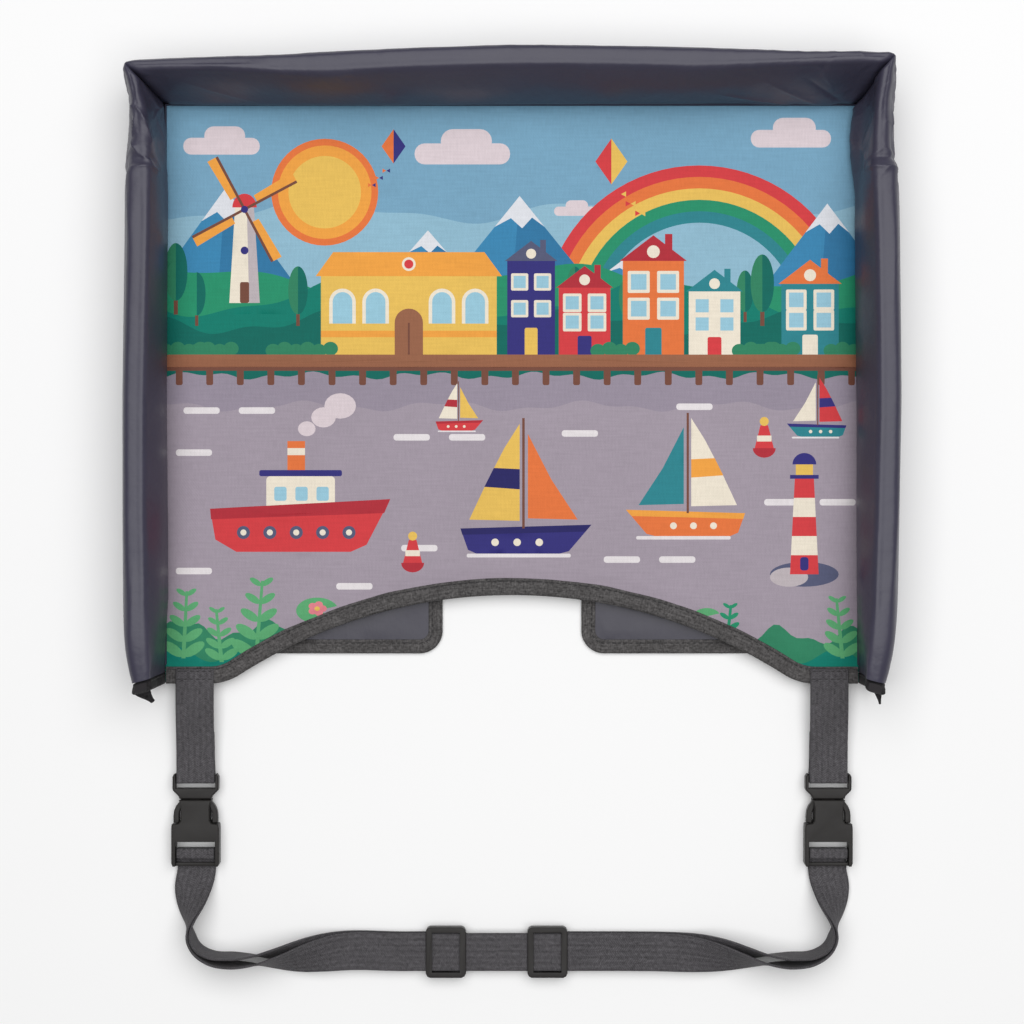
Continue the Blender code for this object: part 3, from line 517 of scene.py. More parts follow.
class Finish(Nodes):
    """A material with its shader, built up over the cloth's UV or the object's place."""

    def __init__(self, name, colour, roughness, sheen=0.0, specular=0.5, uv=True):
        self.made = bpy.data.materials.new(name)
        self.made.use_nodes = True
        self.made.diffuse_color = colour
        self.colour = colour
        tree = self.made.node_tree
        if uv:
            place = add_node(tree, "ShaderNodeUVMap", uv_map="cloth").outputs["UV"]
        else:
            place = add_node(tree, "ShaderNodeTexCoord").outputs["Object"]
        super().__init__(tree, place)
        self.inputs = tree.nodes["Principled BSDF"].inputs
        for label, value in (("Base Color", colour), ("Roughness", roughness), ("Sheen Weight", sheen),
                             ("Sheen Roughness", SHEEN_ROUGHNESS), ("Specular IOR Level", specular)):
            self.inputs[label].default_value = value

    def group(self, group, **values):
        return add_node(self.tree, "ShaderNodeGroup", {"Vector": self.place, **values},
                        node_tree=group).outputs

    def touch(self, scale, tone, gloss=None, spread=0.1):
        """The tint of handled goods; a gloss also makes the roughness uneven."""
        given = {"Scale": scale, "Tone": tone}
        if gloss is not None:
            given.update(Gloss=gloss, Spread=spread)
        handled = self.group(handling_group, **given)
        if gloss is not None:
            put(self.tree, self.inputs["Roughness"], handled["Roughness"])
        return handled["Tint"]

    def tint(self, *shades, tone=None):
        """Multiplies the colour, or a tone from a socket, by each shade."""
        tone = tone or self.colour
        for shade in shades:
            tone = add_node(self.tree, "ShaderNodeMix", {"Factor": 1.0, 6: tone, 7: shade},
                            data_type="RGBA", blend_type="MULTIPLY").outputs[2]
        put(self.tree, self.inputs["Base Color"], tone)

    def bump(self, *heights):
        """Chains bumps of (height, strength, distance in metres)."""
        under = {}
        for height, strength, distance in heights:
            node = add_node(self.tree, "ShaderNodeBump", {
                "Height": height, "Strength": strength, "Distance": distance, **under})
            under = {"Normal": node.outputs["Normal"]}
        put(self.tree, self.inputs["Normal"], under["Normal"])
        return self.made


print("finish builder ready")

# %% Materials


def make_wall_cloth(name, colour):
    own = Finish(name, colour, 0.45, specular=0.52)
    threads = own.group(weave_group, Warp=0.0005, Weft=0.0006, Slub=0.10)
    own.tint(threads["Shade"], own.touch(22.0, 0.22, 0.43, 0.14))
    swell = own.noise((70, 45, 1), 3.0)
    fine = own.noise((260, 150, 1), 3.0, 0.65)
    return own.bump((swell, 0.5, 0.0016), (fine, 0.35, 0.0004), (threads["Height"], 0.25, 0.00006))


def make_printed_cloth():
    """The picture's inks come from the mesh: a colour attribute holds them."""
    own = Finish("printed_cloth", ink(120, 165, 190), 0.68, specular=0.2)
    inks = add_node(own.tree, "ShaderNodeAttribute", attribute_name="print").outputs["Color"]
    threads = own.group(weave_group, Warp=0.0007, Weft=0.0009, Slub=0.18)
    # painted shade: the print is a little darker in the hollows of its weave
    weave_hollow_shade = own.gain(threads["Height"], 0.03, 0.975)
    own.tint(threads["Shade"], weave_hollow_shade, own.touch(14.0, 0.2, 0.66), tone=inks)
    return own.bump((threads["Height"], 0.35, 0.00009))


def make_tape(name, colour):
    own = Finish(name, colour, 0.85, sheen=0.05, specular=0.15)
    rib = own.group(ribs_group, Pitch=0.0012, Chevron=0.0032, Slant=0.0)
    fleck = own.group(flecks_group, Depth=1.5)["Shade"]
    tone = own.touch(130.0, 0.9)
    own.tint(fleck, tone, own.gain(rib["Yarn"], 0.7, 0.62))
    return own.bump((tone, 0.5, 0.0006), (rib["Height"], 0.3, 0.00012), (fleck, 0.4, 0.0001))


def make_webbing():
    own = Finish("webbing", ink(82, 80, 83), 0.8, sheen=0.05, specular=0.2)
    rib = own.group(ribs_group, Pitch=0.0012, Chevron=0.0031, Slant=0.75)
    # painted shade: the colour is darker in the rib hollows and at the chevron turns; the flecks, yarn and
    # handling tone are the webbing's own
    own.tint(own.group(flecks_group, Depth=1.0)["Shade"], own.gain(rib["Column"], 0.04, 0.95),
             own.gain(rib["Height"], 0.34, 0.84), own.gain(rib["Yarn"], 0.5, 0.74), own.touch(70.0, 0.4))
    return own.bump((rib["Height"], 0.5, 0.00016))


def make_plastic():
    own = Finish("moulded_plastic", ink(40, 38, 37), 0.4, specular=0.22, uv=False)
    own.tint(own.touch(160.0, 0.25, 0.42, 0.3))
    return own.bump((own.noise(2600.0, 3.0), 0.25, 0.00005))


def make_grained(name, colour, roughness, sheen, grain, lift, bump):
    """Thread, foam and board: one grain gives both the tone and the bump."""
    own = Finish(name, colour, roughness, sheen=sheen, uv=False)
    level = own.noise(*grain)
    own.tint(own.gain(level, *lift))
    return own.bump((level, *bump))


FILLING = (0.9, 0.0)
finish = {
    "wall": make_wall_cloth("wall_nylon", ink(59, 57, 74)),
    # painted shade: the flaps are the wall nylon, painted darker for the shade they lie in below the tray
    "flap": make_wall_cloth("shaded_flap_nylon", ink(50, 48, 62)),
    "lining": make_wall_cloth("underside_nylon", ink(50, 48, 60)),
    "print": make_printed_cloth(),
    "tape": make_tape("binding_tape", ink(82, 80, 80)),
    # painted shade: the wall-end tape is the binding tape, painted darker for the shade in its fold
    "end_tape": make_tape("end_tape", ink(42, 40, 42)),
    "webbing": make_webbing(),
    "plastic": make_plastic(),
    "thread": make_grained("sewing_thread", ink(34, 33, 35), 0.6, 0.2, ((3000, 3000, 3000), 1.0),
                           (0.6, 0.7), (0.4, 0.0001)),
    "foam": make_grained("foam", ink(226, 224, 216), *FILLING, (900.0, 3.0, 0.7), (0.3, 0.85),
                         (0.5, 0.0003)),
    "board": make_grained("board", ink(200, 196, 186), *FILLING, (300.0, 3.0, 0.7), (0.3, 0.85),
                          (0.5, 0.0003)),
}
print("finishes:", sorted(finish))

# %% [markdown]
# ## The front edge
#
# Straight horns, a fillet on each side and one long arc for the belly: the binding, the
# picture and the underside all follow this line. Writing it once as a formula keeps them
# together, and its outward directions say where the tape folds over.

# %% The front edge as a line
EDGE_STEP = 1.2 * MM


def front_edge(half_width, step=EDGE_STEP):
    """Points from left to right and their outward directions, as two arrays."""
    angle = asin(BELLY_HALF / (BELLY_RADIUS + HORN_FILLET))
    belly_y = FRONT_Y - BELLY_RADIUS + BELLY_DEPTH
    points = [(x, FRONT_Y) for x in np.arange(-half_width, -BELLY_HALF, step)]
    outs = [(0.0, -1.0)] * len(points)
    fillet = np.linspace(0, angle, int(HORN_FILLET * angle / step), endpoint=False)
    belly = np.linspace(angle, 0, int(BELLY_RADIUS * angle / step))
    for turns, middle, radius in ((fillet, (-BELLY_HALF, FRONT_Y + HORN_FILLET), HORN_FILLET),
                                  (belly, (0, belly_y), -BELLY_RADIUS)):
        for turn in turns:
            out = np.array((sin(turn), -cos(turn)))
            points.append(np.array(middle) + out * radius)
            outs.append(out)
    points, outs = np.array(points), np.array(outs)
    mirror = np.array((-1.0, 1.0))
    return (np.concatenate([points, (points * mirror)[-2::-1]]),
            np.concatenate([outs, (outs * mirror)[-2::-1]]))


def panel_outline(setback, side_gap=0.0, step=EDGE_STEP):
    """The tray's plan, set back from the front edge and from the other three."""
    half = HALF_W - side_gap
    points, outs = front_edge(half, step)
    line = points - outs * setback
    line[:, 0] = np.clip(line[:, 0], -half, half)
    return [tuple(p) for p in line] + [(half, BACK_Y - side_gap), (-half, BACK_Y - side_gap)]


edge_points, _ = front_edge(HALF_W)
print("front edge:", len(edge_points), "points, belly radius", round(BELLY_RADIUS, 4))

# %% [markdown]
# ## The printed picture
#
# A printed cloth could be a bitmap, but a bitmap blurs up close and has to be shipped
# beside the model. Here the picture is cut like felt: every motif is a flat outline, a
# constrained triangulation cuts all of them out of each other, and the topmost one gives
# each triangle its ink. The edges stay sharp at any distance. The design is a plain
# harbour: hills, houses, a lighthouse and boats. Places are in millimetres, and a motif's
# own outlines are in shares of its size.

# %% Inks and simple outlines
INKS = {
    "sky": (118, 163, 190), "haze": (142, 183, 203), "cloud": (217, 203, 208),
    "peak": (56, 132, 176), "peak_shade": (46, 116, 160), "snow": (220, 222, 228),
    "hill": (0, 122, 106), "hill_dark": (0, 103, 92), "hill_light": (34, 142, 104),
    "water": (160, 149, 161), "water_deep": (149, 139, 154), "foam": (226, 220, 222),
    "yellow": (229, 188, 90), "gold": (236, 160, 66), "orange": (226, 116, 60),
    "red": (209, 60, 65), "dark_red": (176, 44, 56), "navy": (50, 46, 120),
    "deep_navy": (37, 34, 96), "teal": (42, 130, 140), "glass": (150, 196, 214),
    "slate": (84, 88, 116), "cream": (234, 224, 206), "wood": (150, 98, 72),
    "wood_dark": (116, 72, 58), "leaf": (46, 128, 94), "leaf_light": (90, 166, 112),
    "pink": (222, 128, 138), "stone": (186, 176, 180),
}
drawing = []


def paint(outline, name):
    drawing.append(([(float(x), float(y)) for x, y in outline], name))


def arc(x, y, rx, ry, start, end, steps):
    turns = [radians(start + (end - start) * i / steps) for i in range(steps + 1)]
    return [(x + rx * cos(t), y + ry * sin(t)) for t in turns]


def block(x0, y0, x1, y1, name, corner=0.0):
    """A rectangle, its corners rounded if asked."""
    if not corner:
        paint([(x0, y0), (x1, y0), (x1, y1), (x0, y1)], name)
        return
    corners = ((x1 - corner, y0 + corner), (x1 - corner, y1 - corner), (x0 + corner, y1 - corner),
               (x0 + corner, y0 + corner))
    paint([p for i, (x, y) in enumerate(corners)
           for p in arc(x, y, corner, corner, 90 * i - 90, 90 * i, 5)], name)


def land(name, level, *swells, left=-185, right=185, floor=-190):
    """Ground up to a line made of swells of (height, length, shift)."""
    crest = [(x, level + sum(h * sin(2 * pi * (x - s) / w) for h, w, s in swells))
             for x in range(left, right + 1, 3)]
    paint([(left, floor)] + [(right, floor)] + crest[::-1], name)


class Stamp:
    """Paints parts of a motif at a place, in shares of its width and height."""

    def __init__(self, x, y, wide, high=None):
        self.x, self.y, self.wide, self.high = x, y, wide, wide if high is None else high

    def at(self, a, b):
        return self.x + a * self.wide, self.y + b * self.high

    def shape(self, name, *shares):
        paint([self.at(*share) for share in shares], name)

    def block(self, name, a0, b0, a1, b1, corner=0.0):
        block(*self.at(a0, b0), *self.at(a1, b1), name, corner)

    def arc(self, a, b, ra, rb, start, end, steps):
        return arc(*self.at(a, b), ra * self.wide, rb * self.high, start, end, steps)

    def blob(self, name, a, b, ra, rb, steps=32):
        paint(self.arc(a, b, ra, rb, 0, 360, steps)[:-1], name)


print(len(INKS), "inks")

# %% Land motifs


def cloud(x, y, size):
    """Two stacked bars with round ends."""
    own = Stamp(x, y, size)
    own.block("cloud", -1, -0.22, 1, 0.22, size * 0.21)
    own.block("cloud", -0.45, 0, 0.62, 0.52, size * 0.25)


def peak(x, base, height, half):
    """A mountain with a lit side and a snow cap."""
    own = Stamp(x, base, half, height)
    own.shape("peak", (-1, 0), (1, 0), (0, 1))
    own.shape("peak_shade", (-0.1, 0), (1, 0), (0, 1))
    own.shape("snow", (0, 1), (-0.26, 0.74), (-0.091, 0.8128), (0.026, 0.727), (0.13, 0.818), (0.26, 0.74))


def poplar(x, y, height, crown):
    own = Stamp(x, y, height)
    own.block("wood_dark", -0.03, 0, 0.03, 0.4)
    own.blob(crown, 0, 0.62, 0.17, 0.42)
    paint(own.arc(0, 0.62, 0.17, 0.42, -90, 90, 16), "hill_dark")


def house(x, y, width, height, wall, roof, door):
    """A town house with a gabled roof, two rows of windows and a door."""
    body = Stamp(x, y, width / 2, height)
    body.block(wall, -1, 0, 1, 1)
    top = Stamp(x, y + height, width / 2, width * 0.42)
    top.shape(roof, (-1.1, 0), (1.1, 0), (0, 1))
    top.block(roof, 0.38, 0.35, 0.62, 1.05)
    pane = width * 0.15
    for side in (-1, 1):
        for row in (0.50, 0.78) if height > width else (0.62,):
            window = Stamp(*body.at(side * 0.48, row), pane)
            window.block("cream", -1.2, -1.2, 1.2, 1.2, 0.8)
            window.block("glass", -0.85, -0.85, 0.85, 0.85)
    body.block(door, -0.27, 0, 0.27, 0.3, 1.0)
    Stamp(*top.at(0, 0.36), pane).blob("cream", 0, 0, 0.7, 0.7, 16)


def windmill(x, y, height):
    """A cream tower with four sails."""
    own = Stamp(x, y, height * 0.16, height)
    own.shape("cream", (-1, 0), (1, 0), (0.62, 1), (-0.62, 1))
    own.shape("stone", (0.3, 0), (1, 0), (0.62, 1), (0.15, 1))
    paint(own.arc(0, 1, 0.8, 0.144, 0, 180, 14), "red")
    own.block("wood_dark", -0.3, 0, 0.3, 0.22, 1.0)
    own.blob("navy", 0, 0.55, 0.26, 0.0416, 14)
    hub = np.array(own.at(0, 0.98))
    reach = height * 0.62
    for quarter in range(4):
        turn = radians(28 + 90 * quarter)
        ahead = np.array((cos(turn), sin(turn)))
        side = np.array((-sin(turn), cos(turn)))
        for name, sail in (("wood_dark", ((0, -0.7), (1, -0.7), (1, 0.7), (0, 0.7))),
                           ("gold", ((0.25, 0.7), (1, 0.7), (1, 5.5), (0.25, 4.2)))):
            paint([hub + ahead * reach * far + side * wide for far, wide in sail], name)
    Stamp(*hub, 1.9).blob("navy", 0, 0, 1, 1, 14)


def market_hall(x, y, width, height):
    """A long yellow hall with arched windows under an orange roof."""
    own = Stamp(x, y, width / 2, height)
    own.block("yellow", -1, 0, 1, 1)
    own.shape("gold", (-1.06, 1), (1.06, 1), (0.86, 1.3), (-0.86, 1.3))
    own.block("gold", -1, 0.24, 1, 0.32)
    pane = width * 0.062
    openings = [(0, 0.42, 1.3, 0.0, "wood")]
    for i in (-2, -1, 1, 2):
        openings += [(i, 0.68, 1.22, 0.41, "cream"), (i, 0.68, 0.9, 0.41, "glass")]
    for i, spring, size, sill, name in openings:
        cx = x + i * width / 5.3
        paint(arc(cx, y + height * spring, pane * size, pane * size, 0, 180, 14)
              + [(cx - pane * size, y + height * sill), (cx + pane * size, y + height * sill)], name)
    block(x - 0.5, y, x + 0.5, y + height * 0.42, "wood_dark")
    for size, name, steps in ((3.6, "cream", 20), (2.4, "red", 18)):
        Stamp(*own.at(0, 1.15), size).blob(name, 0, 0, 1, 1, steps)


def bush(x, y, width, name, lumps=4):
    for i in range(lumps):
        Stamp(x, y, width).blob(name, i / (lumps - 1) - 0.5, 0.06 * (i % 2), 0.22, 0.20)


def reed(x, y, height, lean, name):
    """A stem with pairs of rounded leaves."""
    top_x, top_y = x + lean * height, y + height * 0.92
    paint([(x - 1.1, y - 2), (x + 1.1, y - 2), (top_x + 0.7, top_y), (top_x - 0.7, top_y)], name)
    turns = [radians(a) for a in range(0, 360, 24)]
    for i in range(5):
        share = i / 4.6
        leaf = height * 0.15 * (1.15 - 0.7 * share)
        for side in (-1, 1):
            Stamp(x + lean * share * height, y + height * share, side * leaf, leaf).shape(
                name, *[(0.9 * (1 - cos(t)), 0.5 * sin(t) + 0.45 * (1 - cos(t))) for t in turns])


def lily(x, y, radius, flower):
    """A floating leaf with a notch, and a flower on it."""
    paint([(x, y)] + arc(x, y, radius, radius * 0.62, 20, 330, 24), "leaf_light")
    if flower:
        own = Stamp(x, y + 1, radius)
        for turn in range(0, 360, 72):
            own.blob("pink", 0.26 * cos(radians(turn)), 0.2 * sin(radians(turn)), 0.2, 0.16, 12)
        own.blob("yellow", 0, 0, 0.13, 0.11, 12)


print("land motifs ready")

# %% Motifs on the water and in the air


def lighthouse(x, y, height):
    """A striped tower on a rock."""
    own = Stamp(x, y, height)
    own.blob("slate", 0, 0, 0.36, 0.13)
    own.blob("stone", -0.16, -0.03, 0.2, 0.1)
    for i in range(5):
        low, high = (mix(0.15, 0.10, step / 5) for step in (i, i + 1))
        own.shape("cream" if i % 2 else "red", (-low, i / 5), (low, i / 5), (high, (i + 1) / 5),
                  (-high, (i + 1) / 5))
    top = Stamp(x, y + height, height * 0.10)
    block(top.at(-1.5, 0)[0], top.y, top.at(1.5, 0)[0], top.y + 2, "navy")
    block(top.at(-0.9, 0)[0], top.y + 2, top.at(0.9, 0)[0], top.at(0, 1.5)[1], "yellow")
    paint(top.arc(0, 1.5, 1.25, 1.2, 0, 180, 14), "navy")
    block(x - 2.2, y + 2, x + 2.2, y + 9, "navy", 1.5)


def sailboat(x, y, size, hull, stripe, sail, jib, facing=1):
    """A small boat with a mainsail, a jib and three round ports."""
    own = Stamp(x, y, size * facing, size)
    own.shape(hull, (-1, 0), (1.08, 0.06), (0.72, -0.36), (0.5, -0.42), (-0.7, -0.42), (-0.88, -0.34))
    own.shape(stripe, (-1, 0), (1.08, 0.06), (0.98, -0.05), (-0.97, -0.10))
    for share in (-0.45, -0.1, 0.25):
        own.blob("cream", share, -0.22, 0.06, 0.06, 16)
    own.block("wood_dark", -0.02, 0, 0.02, 1.75)
    own.shape(sail, (-0.06, 0.12), (-0.86, 0.14), (-0.56, 0.78), (-0.30, 1.28), (-0.06, 1.66))
    own.shape(stripe, (-0.06, 0.62), (-0.62, 0.66), (-0.47, 0.96), (-0.06, 0.94))
    own.shape(jib, (0.07, 0.16), (0.86, 0.14), (0.44, 0.78), (0.07, 1.5))
    Stamp(x, y, size).block("foam", -0.9, -0.46, 0.75, -0.40, size * 0.025)


def tugboat(x, y, size):
    """A round-ended harbour boat with a cabin and a funnel."""
    own = Stamp(x, y, size)
    own.block("cream", -0.36, 0, 0.42, 0.42, 2)
    for share in (-0.2, 0.04, 0.28):
        own.block("glass", share - 0.07, 0.14, share + 0.07, 0.3, 1.2)
    own.block("navy", -0.44, 0.42, 0.5, 0.49, 1)
    own.block("orange", -0.12, 0.49, 0.08, 0.82)
    own.block("cream", -0.12, 0.66, 0.08, 0.74)
    own.shape("red", (-1, 0.05), (1.05, 0.16), (0.78, -0.36), (0.6, -0.44), (-0.7, -0.44), (-0.94, -0.3))
    own.shape("dark_red", (-1, 0.05), (1.05, 0.16), (0.98, 0), (-0.99, -0.07))
    for i in range(5):
        own.blob("slate", 0.3 * i - 0.62, -0.22, 0.075, 0.075, 18)
        own.blob("cream", 0.3 * i - 0.62, -0.22, 0.035, 0.035, 12)
    for i in range(3):
        own.blob("cloud", 0.1 + 0.19 * i, 0.96 + 0.13 * i, 0.1 + 0.04 * i, 0.085 + 0.03 * i, 20)


def kite(x, y, size, one, two, swing):
    """A diamond kite with a bowed tail."""
    for side, name in ((-1, one), (1, two)):
        Stamp(x, y, size * side, size).shape(name, (0, 1), (0.7, 0), (0, -1))
        for i in range(1, 4):
            bow = Stamp(x + swing * i * size * 0.42, y - size * (1.0 + 0.42 * i), size * side, size)
            bow.shape(name, (0, 0), (0.22, 0.12), (0.22, -0.12))


def buoy(x, y):
    paint(arc(x, y, 6, 5, 180, 360, 12), "dark_red")
    paint([(x - 5, y), (x + 5, y), (x + 2, y + 12), (x - 2, y + 12)], "red")
    block(x - 3.8, y + 3.5, x + 3.8, y + 6.6, "cream")
    Stamp(x, y + 14, 2.4).blob("yellow", 0, 0, 1, 1, 12)


def ripples(x, y, count, length=19, gap=10):
    for left in range(x, x + count * (length + gap), length + gap):
        block(left, y, left + length, y + 3.4, "foam", 1.5)


def draw(motif, *rows):
    """Paints a motif once for each row of its numbers and inks."""
    for row in rows:
        motif(*row)


print("motifs ready")

# %% The harbour picture
QUAY = -14
paint([(x / MM, y / MM) for x, y in panel_outline(0.9 * MM, step=3 * MM)], "sky")

# Sky: haze, the sun, clouds and the rainbow.
land("haze", 62, (5, 150, 10), (2, 61, 0))
for radius, tone, steps in ((28, "orange", 48), (24.5, "gold", 48), (19, "yellow", 48)):
    Stamp(-98, 72, radius).blob(tone, 0, 0, 1, 1, steps)
draw(cloud, (-152, 96, 20), (-26, 92, 25), (33, 62, 11), (146, 100, 21))
for i, tone in enumerate(("red", "orange", "yellow", "hill_light", "teal")):
    outer, inner = 82 - 6 * i, 76 - 6 * i
    paint(arc(98, 4, outer, outer, 0, 180, 40) + arc(98, 4, inner, inner, 180, 0, 40), tone)

# Mountains, hills and trees.
draw(peak, (-150, 8, 66, 48), (4, 8, 62, 50), (-44, 8, 44, 38), (60, 8, 30, 40), (165, 8, 58, 44))
land("hill_light", 26, (7, 190, -30), (3, 83, 20))
land("hill", 17, (9, 160, 40), (2, 53, 0))
land("hill_dark", 4, (5, 118, 0), (2, 41, 15))
draw(poplar, (-176, 8, 36, "leaf"), (-165, 2, 27, "hill_light"), (-112, 2, 30, "leaf"),
     (33, 6, 26, "leaf"), (60, 2, 24, "leaf"), (122, 4, 26, "leaf"), (131, 2, 36, "leaf"))
windmill(-140, 14, 50)

# The town on its quay.
market_hall(-54, QUAY, 92, 42)
draw(house, (10, QUAY, 25, 50, "navy", "slate", "yellow"), (38, QUAY, 27, 36, "red", "dark_red", "navy"),
     (74, QUAY, 32, 50, "orange", "dark_red", "teal"), (106, QUAY, 27, 34, "cream", "teal", "red"),
     (156, QUAY, 30, 38, "teal", "orange", "cream"))
draw(bush, *[(x, QUAY + 3, 18, "leaf") for x in (-172, -156, -116, -104, 54, 128, 138, 176)])
land("water_deep", -24, (1.2, 60, 0), (1, 23, 5))
block(-186, QUAY - 6, 186, QUAY + 1, "wood")
block(-186, QUAY - 7.5, 186, QUAY - 5.5, "wood_dark")
draw(block, *[(x, QUAY - 15, x + 3.6, QUAY - 6, "wood_dark", 1) for x in range(-176, 180, 16)])

# Open water and boats.
land("water", -40, (2, 74, 20), (1, 29, 0))
draw(ripples, (-172, -44, 2), (-62, -58, 2), (86, -42, 1), (26, -56, 1), (-176, -128, 1),
     (-58, -116, 1), (48, -122, 2), (132, -92, 2), (-92, -136, 1), (-176, -66, 1))
tugboat(-112, -96, 46)
draw(sailboat, (6, -104, 33, "navy", "deep_navy", "yellow", "orange"),
     (92, -96, 30, "orange", "gold", "cream", "teal", -1),
     (160, -50, 15, "teal", "navy", "red", "cream", -1), (-28, -48, 12, "red", "dark_red", "cream", "yellow"))
draw(buoy, (-52, -122), (132, -62))
lighthouse(153, -128, 50)

# Green banks in the two front corners.
land("leaf", -157, (4, 46, 0), (2, 17, 3), right=-84)
land("hill", -170, (4, 37, 0), right=-92)
land("leaf", -160, (4, 41, 6), (2, 19, 0), left=86)
land("hill", -171, (4, 39, 4), left=94)
draw(reed, (-172, -170, 36, 0.05, "leaf_light"), (-152, -172, 28, -0.1, "leaf_light"),
     (-134, -170, 42, 0.08, "leaf_light"), (112, -168, 26, 0.1, "hill_light"),
     (173, -170, 32, -0.1, "leaf_light"))
draw(lily, (-102, -147, 11, True), (-78, -150, 8, False), (78, -148, 9, True), (102, -150, 7, False))
draw(kite, (52, 88, 12, "red", "yellow", 1), (-62, 96, 9, "orange", "navy", -1))
print(len(drawing), "outlines,", sum(len(outline) for outline, _ in drawing), "points")

# %% [markdown]
# ## The printed top
#
# The cloth is laminated to a thin pad and stretched over a board, so it is nearly flat:
# it dips under the binding and into the seams at the walls, and swells a little between
# them. The picture's triangles are lifted to those heights and closed underneath. A cloth
# simulation would only find the same shape more slowly.

# %% Printed top panel
PRINT_SPACING = 4.0     # millimetres between the points that carry the swell
RIM_TOP = PANEL_LOW + 0.8 * MM
SWELL_HEIGHT = 0.55 * MM
SEAM_SHADE = 12 * MM    # how far the puckers of a seam reach into the panel


def panel_height(places):
    """Height of the printed cloth: pressed down at its edges, slightly swelled inside."""
    front = edge_distance(places, edge_points)
    side = HALF_W - np.abs(places[:, 0])
    back = BACK_Y - places[:, 1]
    inside = ease((front - BINDING_LEG) / (4 * MM)) * ease(side / (8 * MM)) * ease(back / (7 * MM))
    swell = waves(places, 0.075, 3.0) + 0.55 * waves(places, 0.03, 9.0)
    near = np.exp(-np.clip(front - BINDING_LEG, 0, None) / (14 * MM))
    near += 0.6 * np.exp(-side / SEAM_SHADE) + 0.6 * np.exp(-back / SEAM_SHADE)
    rise = PLAY_TOP - RIM_TOP + SWELL_HEIGHT * (swell + waves(places, 0.013, 5.0) * near) + 0.35 * MM
    return RIM_TOP + np.clip(rise, 0, None) * inside


def make_print():
    """The lifted picture; a colour attribute holds the inks, and its back is plain."""
    places, tiles, owners = cut_cloth([outline for outline, _ in drawing], PRINT_SPACING)
    places = places * MM
    low = np.full(len(places), PANEL_LOW)
    panel = plate_between("printed_top", places, tiles, low, panel_height(places), finish["print"], 60)
    tones = [ink(*INKS[drawing[own][1]]) for own in owners]
    tones += [ink(*INKS["stone"])] * (len(panel.data.polygons) - len(tones))
    flat = [value for face, tone in zip(panel.data.polygons, tones) for value in tone * face.loop_total]
    layer = panel.data.color_attributes.new("print", "FLOAT_COLOR", "CORNER")
    layer.data.foreach_set("color", flat)
    return panel


printed_top = make_print()
dress(printed_top, "tray", "printed_cloth", "top_panel")
print("printed top:", len(printed_top.data.polygons), "faces")

# %% [markdown]
# ## The padded walls
#
# Each wall is a nylon sleeve over a strip of foam, and the corners have no foam, so that
# the walls can fold. A sleeve starts as rings along the wall, mitred at the corners. It is
# cut a little larger than the foam, and a cloth simulation lets the spare cloth settle
# round the core, as it does on a real one: smooth where the foam fills it, creased where
# the foam ends. The side sleeve runs through to the mitre and is divided afterwards.

# %% Wall sections
WALL_INNER = 0.4 * MM
WALL_THICK = 13 * MM
WALL_BOTTOM = 1 * MM
WALL_TOP = 48 * MM
WALL_HEIGHT = WALL_TOP - WALL_BOTTOM
WALL_CROWN = 1.0 * MM
WALL_ROUNDS = (3.0 * MM, 4.8 * MM, 2.4 * MM)    # at the foot, the outer and the inner top edge
SLEEVE = 0.8 * MM
CORNER_LEAN = 3 * MM
CORNER_PINCH = 0.68     # the corner cloth is thin at its top, where there is no foam
BACK_LEAN = 12 * MM
CORNER_CLOTH = 41.4 * MM
SIDE_REAR_Y = BACK_Y - CORNER_CLOTH
END_Y = FRONT_Y - 2.6 * MM
TAPE_DEPTH = 6.4 * MM
SIDE_FRONT_Y = END_Y + TAPE_DEPTH + 2.6 * MM
END_SLANT = 0.28        # the outer side reaches further forward
LIP = 9.4 * MM
LIP_SHIFT = 0.42        # how far the pinched lip moves inwards, as a share of its thinning
TAPER = 24 * MM
AROUND = 44
ROW_STEP = 3.8 * MM
CORNER_TURN = 20 * MM   # how much of the back wall's end turns when it folds
SIDE_TURN = 4.5 * MM    # the corner cloth turns as quickly when a side wall folds
MITRE_GAP = 0.04 * MM


def wall_section(count, inset=0.0, thick=WALL_THICK, height=WALL_HEIGHT):
    """A rounded, crowned ring of (distance from the tray's edge, z)."""
    middle = WALL_INNER + WALL_THICK / 2
    half = thick / 2 - inset
    low = WALL_BOTTOM + inset
    high = WALL_BOTTOM + height - inset
    foot, outer, inner = WALL_ROUNDS
    outer_round = min(outer - inset, half * 0.92)
    inner_round = min(max(inner - inset, 0.8 * MM), half * 0.9)
    low_round = min(foot - inset, half * 0.9)
    path = []
    for side, level, radius, start in ((1, low, low_round, -90), (1, high, outer_round, 0),
                                       (-1, high, inner_round, 90), (-1, low, low_round, 180)):
        centre = level + radius if level == low else level - radius
        path += [(middle + side * (half - radius) + radius * cos(turn), centre + radius * sin(turn))
                 for turn in (radians(start + 90 * i / 8) for i in range(9))]
    ring = resample(path, count, closed=True)
    up = (ring[:, 1] - low) / (high - low)
    across = np.clip((ring[:, 0] - middle) / half, -1, 1)
    ring[:, 0] += WALL_CROWN * thick / WALL_THICK * (1 - (2 * up - 1) ** 2) * across
    return ring


def pinched(ring, share):
    """Thins a ring towards its top, against its outer face."""
    up = np.clip((ring[:, 1] - WALL_BOTTOM) / WALL_HEIGHT, 0, 1)
    outer = ring[:, 0].max()
    return np.column_stack([outer - (outer - ring[:, 0]) * (1 - share * up ** 2), ring[:, 1]])


def leaned(ring, lean):
    """Leans a ring outwards above the fold line."""
    moved = ring.copy()
    moved[:, 0] += lean * np.clip(ring[:, 1] - FOLD_Z, 0, None) / (WALL_TOP - FOLD_Z)
    return moved


